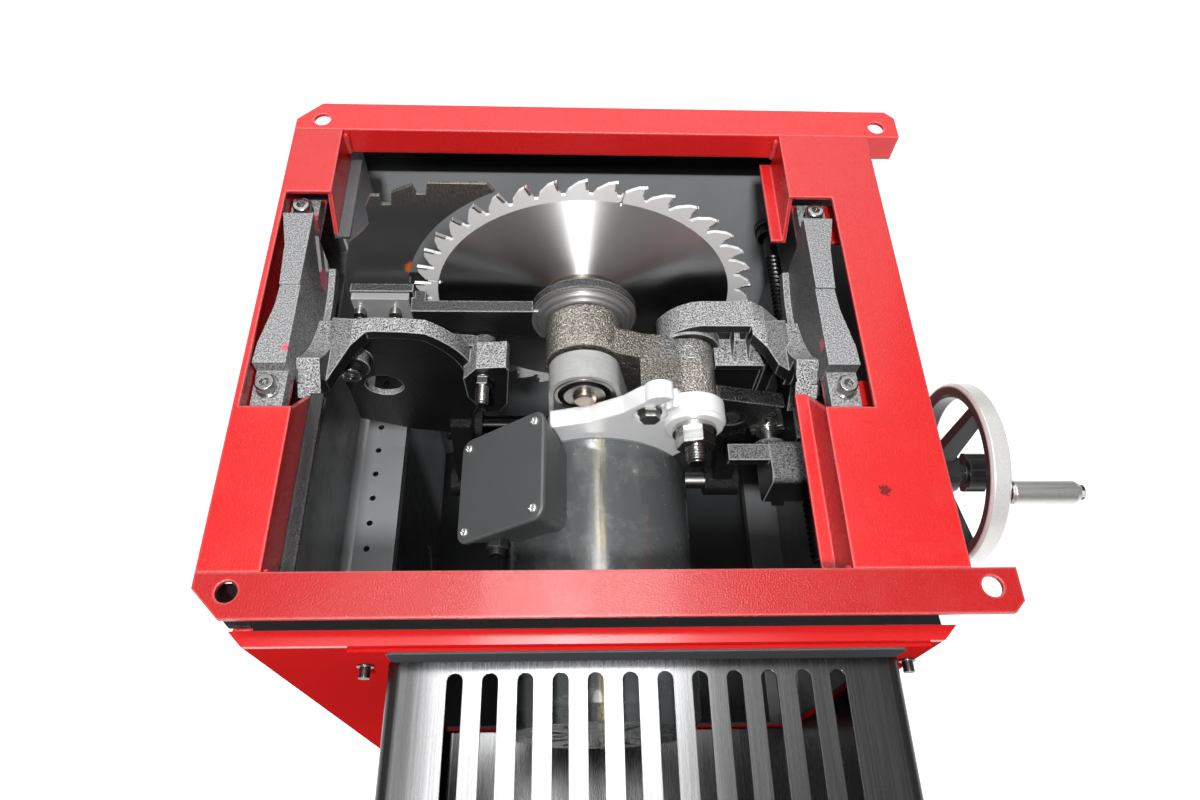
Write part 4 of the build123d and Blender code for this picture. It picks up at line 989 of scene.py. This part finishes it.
def motor_paint():
    """Glossy dark motor paint with finger marks, small pale flecks and one pale yellowish streak along the
    top.
    """
    finish = Finish("motor_paint", Coat_Weight=0.8, Coat_Roughness=0.10)
    tree = finish.tree
    film = finish.use("paint_film", Peel=240.0)
    lines = finish.use("drawn_lines", X=500.0, Y=18.0, Z=500.0)["Tone"]
    finish.start(film["Tone"], (0.034, 0.038, 0.039), (0.078, 0.083, 0.084))
    finish.layer((0.20, 0.205, 0.20), film["Smudge"], 0.25)
    pale_flecks = window(noise(place_of(tree), 170.0, 4.0, 0.75), 0.66, 0.72)
    finish.layer((0.42, 0.42, 0.40), pale_flecks, 0.6)
    side = off(part_of(place_of(tree), "X"), MOTOR.x)
    top_streak = times(window(side, *STREAK_SIDE), window(lines, 0.35, 0.65))
    finish.layer((0.46, 0.40, 0.20), top_streak, 0.6)
    finish.roughness(0.22, film["Smudge"], 0.25)
    finish.relief(film["Height"], 0.3 * MM, 0.5)
    return finish.done()


def wheel_finish(name, centre, axis):
    """Handwheel: bright turned rim, the rest black enamel, told apart by the radius."""
    finish = Finish(name, Coat_Weight=0.3, Coat_Roughness=0.12)
    rim = window(finish.radius(centre, axis), RIM_R - RIM_SOFT, RIM_R + RIM_SOFT)
    lines = finish.use("drawn_lines", X=700.0, Y=700.0, Z=700.0)["Tone"]
    edge = finish.use("edge_line", Width=1.2 * MM)
    bright = blend(lines, (0.55, 0.55, 0.53), (0.80, 0.80, 0.77))
    finish.start(rim, (0.012, 0.012, 0.013), bright)
    finish.feed(Metallic=times(rim, 0.5))
    finish.roughness(0.22, lines, 0.2)
    finish.relief(lines, 0.04 * MM, 0.4, edge["Normal"])
    return finish.done()


def dress(finish, *names):
    """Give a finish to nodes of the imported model."""
    for name in names:
        nodes[name].material_slots[0].material = finish


def dress_cabinet():
    """Finishes of the frame, the panels and what is bolted to them."""
    # The far rail takes a lighter copy of the red, painted light, and the near rail a darker one, painted
    # shade
    dress(red_paint("frame_red", tone=1.25), "far_rail")
    dress(red_paint("near_rail_shaded_red", tone=0.70, dark=(NEAR_HOLLOW_SHADE_Z, EVERY_X)), "near_rail")
    # Near-black in the near and rear rails' hollows: painted shade; grey in the rear one past a Y: painted
    # light
    dress(red_paint("rear_rail_red", dark=REAR_HOLLOW_SHADE, lit_y=REAR_RAIL_LIT_Y), "rear_rail")
    dress(red_paint("front_rail_red", chip=CHIP), "front_rail")
    # Inside, the far panel is black above a height, a painted shadow, and the rear panel paler past a Y,
    # painted light
    panels = (("near_panel", (0, 1, 0), 0.08, {"lip": LIP_Z, "gloss": 0.0}),
              ("far_panel", (0, -1, 0), 0.33, {"black": SHOULDER_SHADOW_Z}),
              ("rear_panel", (1, 0, 0), 0.13, {"pale": REAR_PANEL_LIT_Y}),
              ("front_panel", (-1, 0, 0), 0.11, {}))
    for name, inward, tone, more in panels:
        charcoal = (0.95 * tone, 0.99 * tone, 1.02 * tone)
        dress(panel_paint(f"{name}_paint", inward, charcoal, **more), name)
    dress(panel_paint("motor_door_paint", (0, 1, 0), grey(0.05), cut=0.4, gloss=0.0), "motor_door")
    # The ledges darken past places on two axes: painted shade
    ledge = sheet_paint("inner_grey", (0.15, 0.155, 0.16), (0.24, 0.245, 0.25), 0.2, painted_shades=LEDGE_SHADES)
    dress(ledge, "inner_ledges")
    dress(sheet_paint("floor_grey", (0.02, 0.021, 0.022), (0.05, 0.052, 0.054)), "dust_floor")
    dress(sheet_paint("outlet_black", (0.02, 0.02, 0.021), (0.04, 0.04, 0.042)), "dust_outlet")
    dress(sheet_paint("plinth_black", (0.012, 0.012, 0.013), (0.03, 0.03, 0.032)), "base_plinth")
    # The cover is darker at its ends: painted shade that leaves a painted highlight in the middle
    cover = steel("cover_grey", (0.34, 0.342, 0.347), 0.26, (700.0, 12.0, 12.0), 0.04, shaded_spans=COVER_SHADED_ENDS)
    dress(cover, "motor_cover")
    # Brackets: lighter upper faces and specks are painted light; pale edges and the rear one's white lines
    # are painted highlights
    dress(bracket_coat("rear_bracket_grey", REAR_DAUBS, True), "rear_bracket")
    dress(bracket_coat("front_bracket_grey", FRONT_DAUBS), "front_bracket")


def dress_saw():
    """Finishes of the cradle, the saw unit and the drives."""
    # Castings: upper faces painted lighter, painted light; black below a depth, painted shade; the next two
    # are darker copies, painted shade
    dress(black_casting("casting_black", deep=CASTING_SHADE_Z), "rear_trunnion", "front_trunnion")
    dress(black_casting("casting_shaded_black", 0.4), "lift_gearbox", "level_link", "tilt_bearing")
    dress(black_casting("casting_carrier", 0.2, BEARING_R), "knife_carrier")
    # Arm: bright specks and pale edges are painted highlights; darker between the bosses, on its sides and
    # towards the quadrant, painted shade
    dress(brown_casting("casting_brown"), "raising_arm")
    dress(steel("oxide_black", (0.10, 0.10, 0.105), 0.34), "door_screws", "link_bolt")
    dress(steel("bolt_grey", (0.34, 0.34, 0.33), 0.32), "tension_bolt")
    dress(steel("spindle_brown", (0.40, 0.34, 0.28), 0.30), "arbor")
    dress(steel("screw_grey", grey(0.36), 0.26), "bracket_screws")
    dress(steel("zinc", (0.62, 0.62, 0.60), 0.25), "pivot_nut")
    dress(steel("turned_steel", (0.52, 0.52, 0.51)), "arbor_bearings", "outer_flange", "arbor_nut",
          "motor_shaft", "lift_pinion", "lift_shaft", "tilt_nut")
    # The tie rods are black before an X: painted shade
    dress(steel("rod_steel", (0.50, 0.50, 0.49), darkened=TIE_ROD_SHADE_X), "tie_rods")
    dress(steel("pulley_steel", (0.26, 0.25, 0.24), 0.34, (30.0, 900.0, 30.0), 0.5), "arbor_pulley",
          "motor_pulley")
    dress(sheet_paint("clamp_zinc", grey(0.26), (0.36, 0.36, 0.355), metal=0.2), "clamp_plate")
    dress(sheet_paint("jaw_black", (0.030, 0.030, 0.031), (0.050, 0.050, 0.051), 0.4), "clamp_jaw")
    dress(steel("clamp_screw_grey", (0.46, 0.46, 0.45), 0.28), "clamp_screws")
    dress(blade_steel(), "saw_blade")
    dress(knife_black(), "riving_knife")
    dress(belt_rubber(), "drive_belt")
    dress(cast_aluminium(), "motor_bracket")
    dress(motor_paint(), "motor_housing", "fan_cover")
    dress(wheel_finish("lift_wheel", LIFT, (1, 0, 0)), "lift_handwheel")
    dress(wheel_finish("tilt_wheel", TILT_SCREW, (0, 1, 0)), "tilt_handwheel")
    dress(steel("handle_pale", (0.72, 0.72, 0.70), 0.35), "lift_handle", "tilt_handle")
    dress(plastic("knob_black", grey(0.010), grey(0.02), 0.3), "lift_lock_knob", "tilt_lock_knob")


def add_threads():
    """Threaded rods, and the blade's carbide tips."""
    stud = steel("thread_dark", grey(0.30), 0.26)
    piece("pivot_stud", threaded_rod(PIVOT, STUD, STUD_THREAD), "cradle", stud,
          "pivot_shaft")
    darkened = steel("thread_oiled", grey(0.07), 0.34)
    piece("tilt_lead_screw", threaded_rod(TILT_SCREW, LEAD_SCREW, LEAD_THREAD, 28), "tilt_drive", darkened,
          "tilt_screw")
    bolt = steel("bolt_bright", (0.55, 0.55, 0.54), 0.25)
    piece("link_bolt_end", threaded_rod(LINK_PIN, LINK_END, LINK_THREAD, 32), "cradle", bolt)
    carbide = steel("carbide", (0.68, 0.68, 0.67), 0.36)
    piece("carbide_tips", carbide_tips(), "spindle", carbide)


def add_terminal_box():
    """Lid with its screws, tapered box and cable gland."""
    zinc = steel("zinc_pan", (0.92, 0.92, 0.90), 0.45)
    piece("lid_pan_screws", cross_screws(), "saw_arm", zinc, "lid_screws")
    # Pale edges on the box and lid: a painted highlight
    box = plastic("box_black", (0.050, 0.053, 0.054), (0.074, 0.078, 0.079), edge_highlight=0.45)
    piece("terminal_cover", terminal_cover(), "saw_arm", box, "terminal_lid")
    piece("terminal_tub", terminal_tub(), "saw_arm", box, "terminal_box")
    gland = plastic("gland_black", grey(0.010), grey(0.02), 0.4)
    piece("box_gland", box_gland(), "saw_arm", gland, "cable_gland")


def add_trim():
    """Boss screw, plate behind the slot, cover's edge, black strip standing for the shade in the gap, bend
    of the ledge and weld beads.
    """
    socket = steel("socket_grey", (0.50, 0.50, 0.49), 0.26)
    piece("boss_screw", boss_screw(), "cradle", socket)
    black = sheet_paint("shield_black", (0.010, 0.010, 0.011), (0.02, 0.02, 0.021))
    piece("slot_shield", slot_shield(), "cradle", black)
    # The cover's turned-up edge is painted dark grey: painted shade
    flange = sheet_paint("flange_shaded_grey", (0.050, 0.051, 0.054), (0.066, 0.068, 0.073), 0.6, coat=0.0,
                         gloss=0.0)
    piece("cover_flange", cover_flange(), "cabinet", flange)
    # A black strip standing for the shade in the gap above the panel's lip
    gap_shade = plastic("gap_shade_black", grey(0.001), grey(0.002), 0.95)
    piece("gap_strip", gap_strip(), "cabinet", gap_shade)
    fold = sheet_paint("fold_grey", (0.17, 0.175, 0.18), (0.27, 0.275, 0.28), 0.2)
    piece("ledge_fold", ledge_fold(), "cabinet", fold)
    piece("corner_welds", corner_welds(), "cabinet", red_paint("weld_red"))


# Stage

def camera():
    """Camera at the photograph's height, turn and small roll."""
    ahead = Vector((math.sin(YAW) * math.cos(PITCH), math.cos(YAW) * math.cos(PITCH), -math.sin(PITCH)))
    right = Vector((math.cos(YAW), -math.sin(YAW), 0))
    up = right.cross(ahead)
    rolled_right = math.cos(ROLL) * right + math.sin(ROLL) * up
    rolled_up = math.cos(ROLL) * up - math.sin(ROLL) * right
    data = bpy.data.cameras.new("camera")
    data.sensor_width = SENSOR
    data.sensor_fit = "HORIZONTAL"
    data.lens = LENS
    made = bpy.data.objects.new("camera", data)
    turn = Matrix((rolled_right, rolled_up, -ahead)).transposed().to_4x4()
    turn.translation = EYE
    made.matrix_world = turn
    bpy.context.scene.collection.objects.link(made)
    bpy.context.scene.camera = made


def lamp(name, place, target, power, size):
    """Soft rectangular lamp that looks at a point."""
    data = bpy.data.lights.new(name, "AREA")
    data.shape = "RECTANGLE"
    data.size, data.size_y = size
    data.energy = power
    made = bpy.data.objects.new(name, data)
    made.location = place
    made.rotation_euler = (Vector(target) - Vector(place)).to_track_quat("-Z", "Y").to_euler()
    bpy.context.scene.collection.objects.link(made)


def studio():
    """Dim white surroundings, a bright floor, three lamps overhead, a soft key and a soft back light."""
    scene = bpy.context.scene
    scene.view_settings.view_transform = "Standard"
    world = bpy.data.worlds.new("white_room")
    world.use_nodes = True
    world.node_tree.nodes["Background"].inputs["Color"].default_value = (1, 1, 1, 1)
    world.node_tree.nodes["Background"].inputs["Strength"].default_value = ROOM_LIGHT
    scene.world = world
    for values in LAMPS:
        lamp(*values)
    floor = bpy.data.meshes.new("floor")
    corners = [(x * FLOOR_REACH, y * FLOOR_REACH, 0) for x, y in ((-1, -1), (1, -1), (1, 1), (-1, 1))]
    floor.from_pydata(corners, [], [(0, 1, 2, 3)])
    white = Finish("floor_white", Roughness=0.9, Base_Color=(0.9, 0.9, 0.9, 1),
                   Emission_Color=(1, 1, 1, 1), Emission_Strength=FLOOR_GLOW)
    floor.materials.append(white.material)
    made = bpy.data.objects.new("floor", floor)
    scene.collection.objects.link(made)


camera()
studio()
dress_cabinet()
dress_saw()
add_threads()
add_terminal_box()
add_trim()
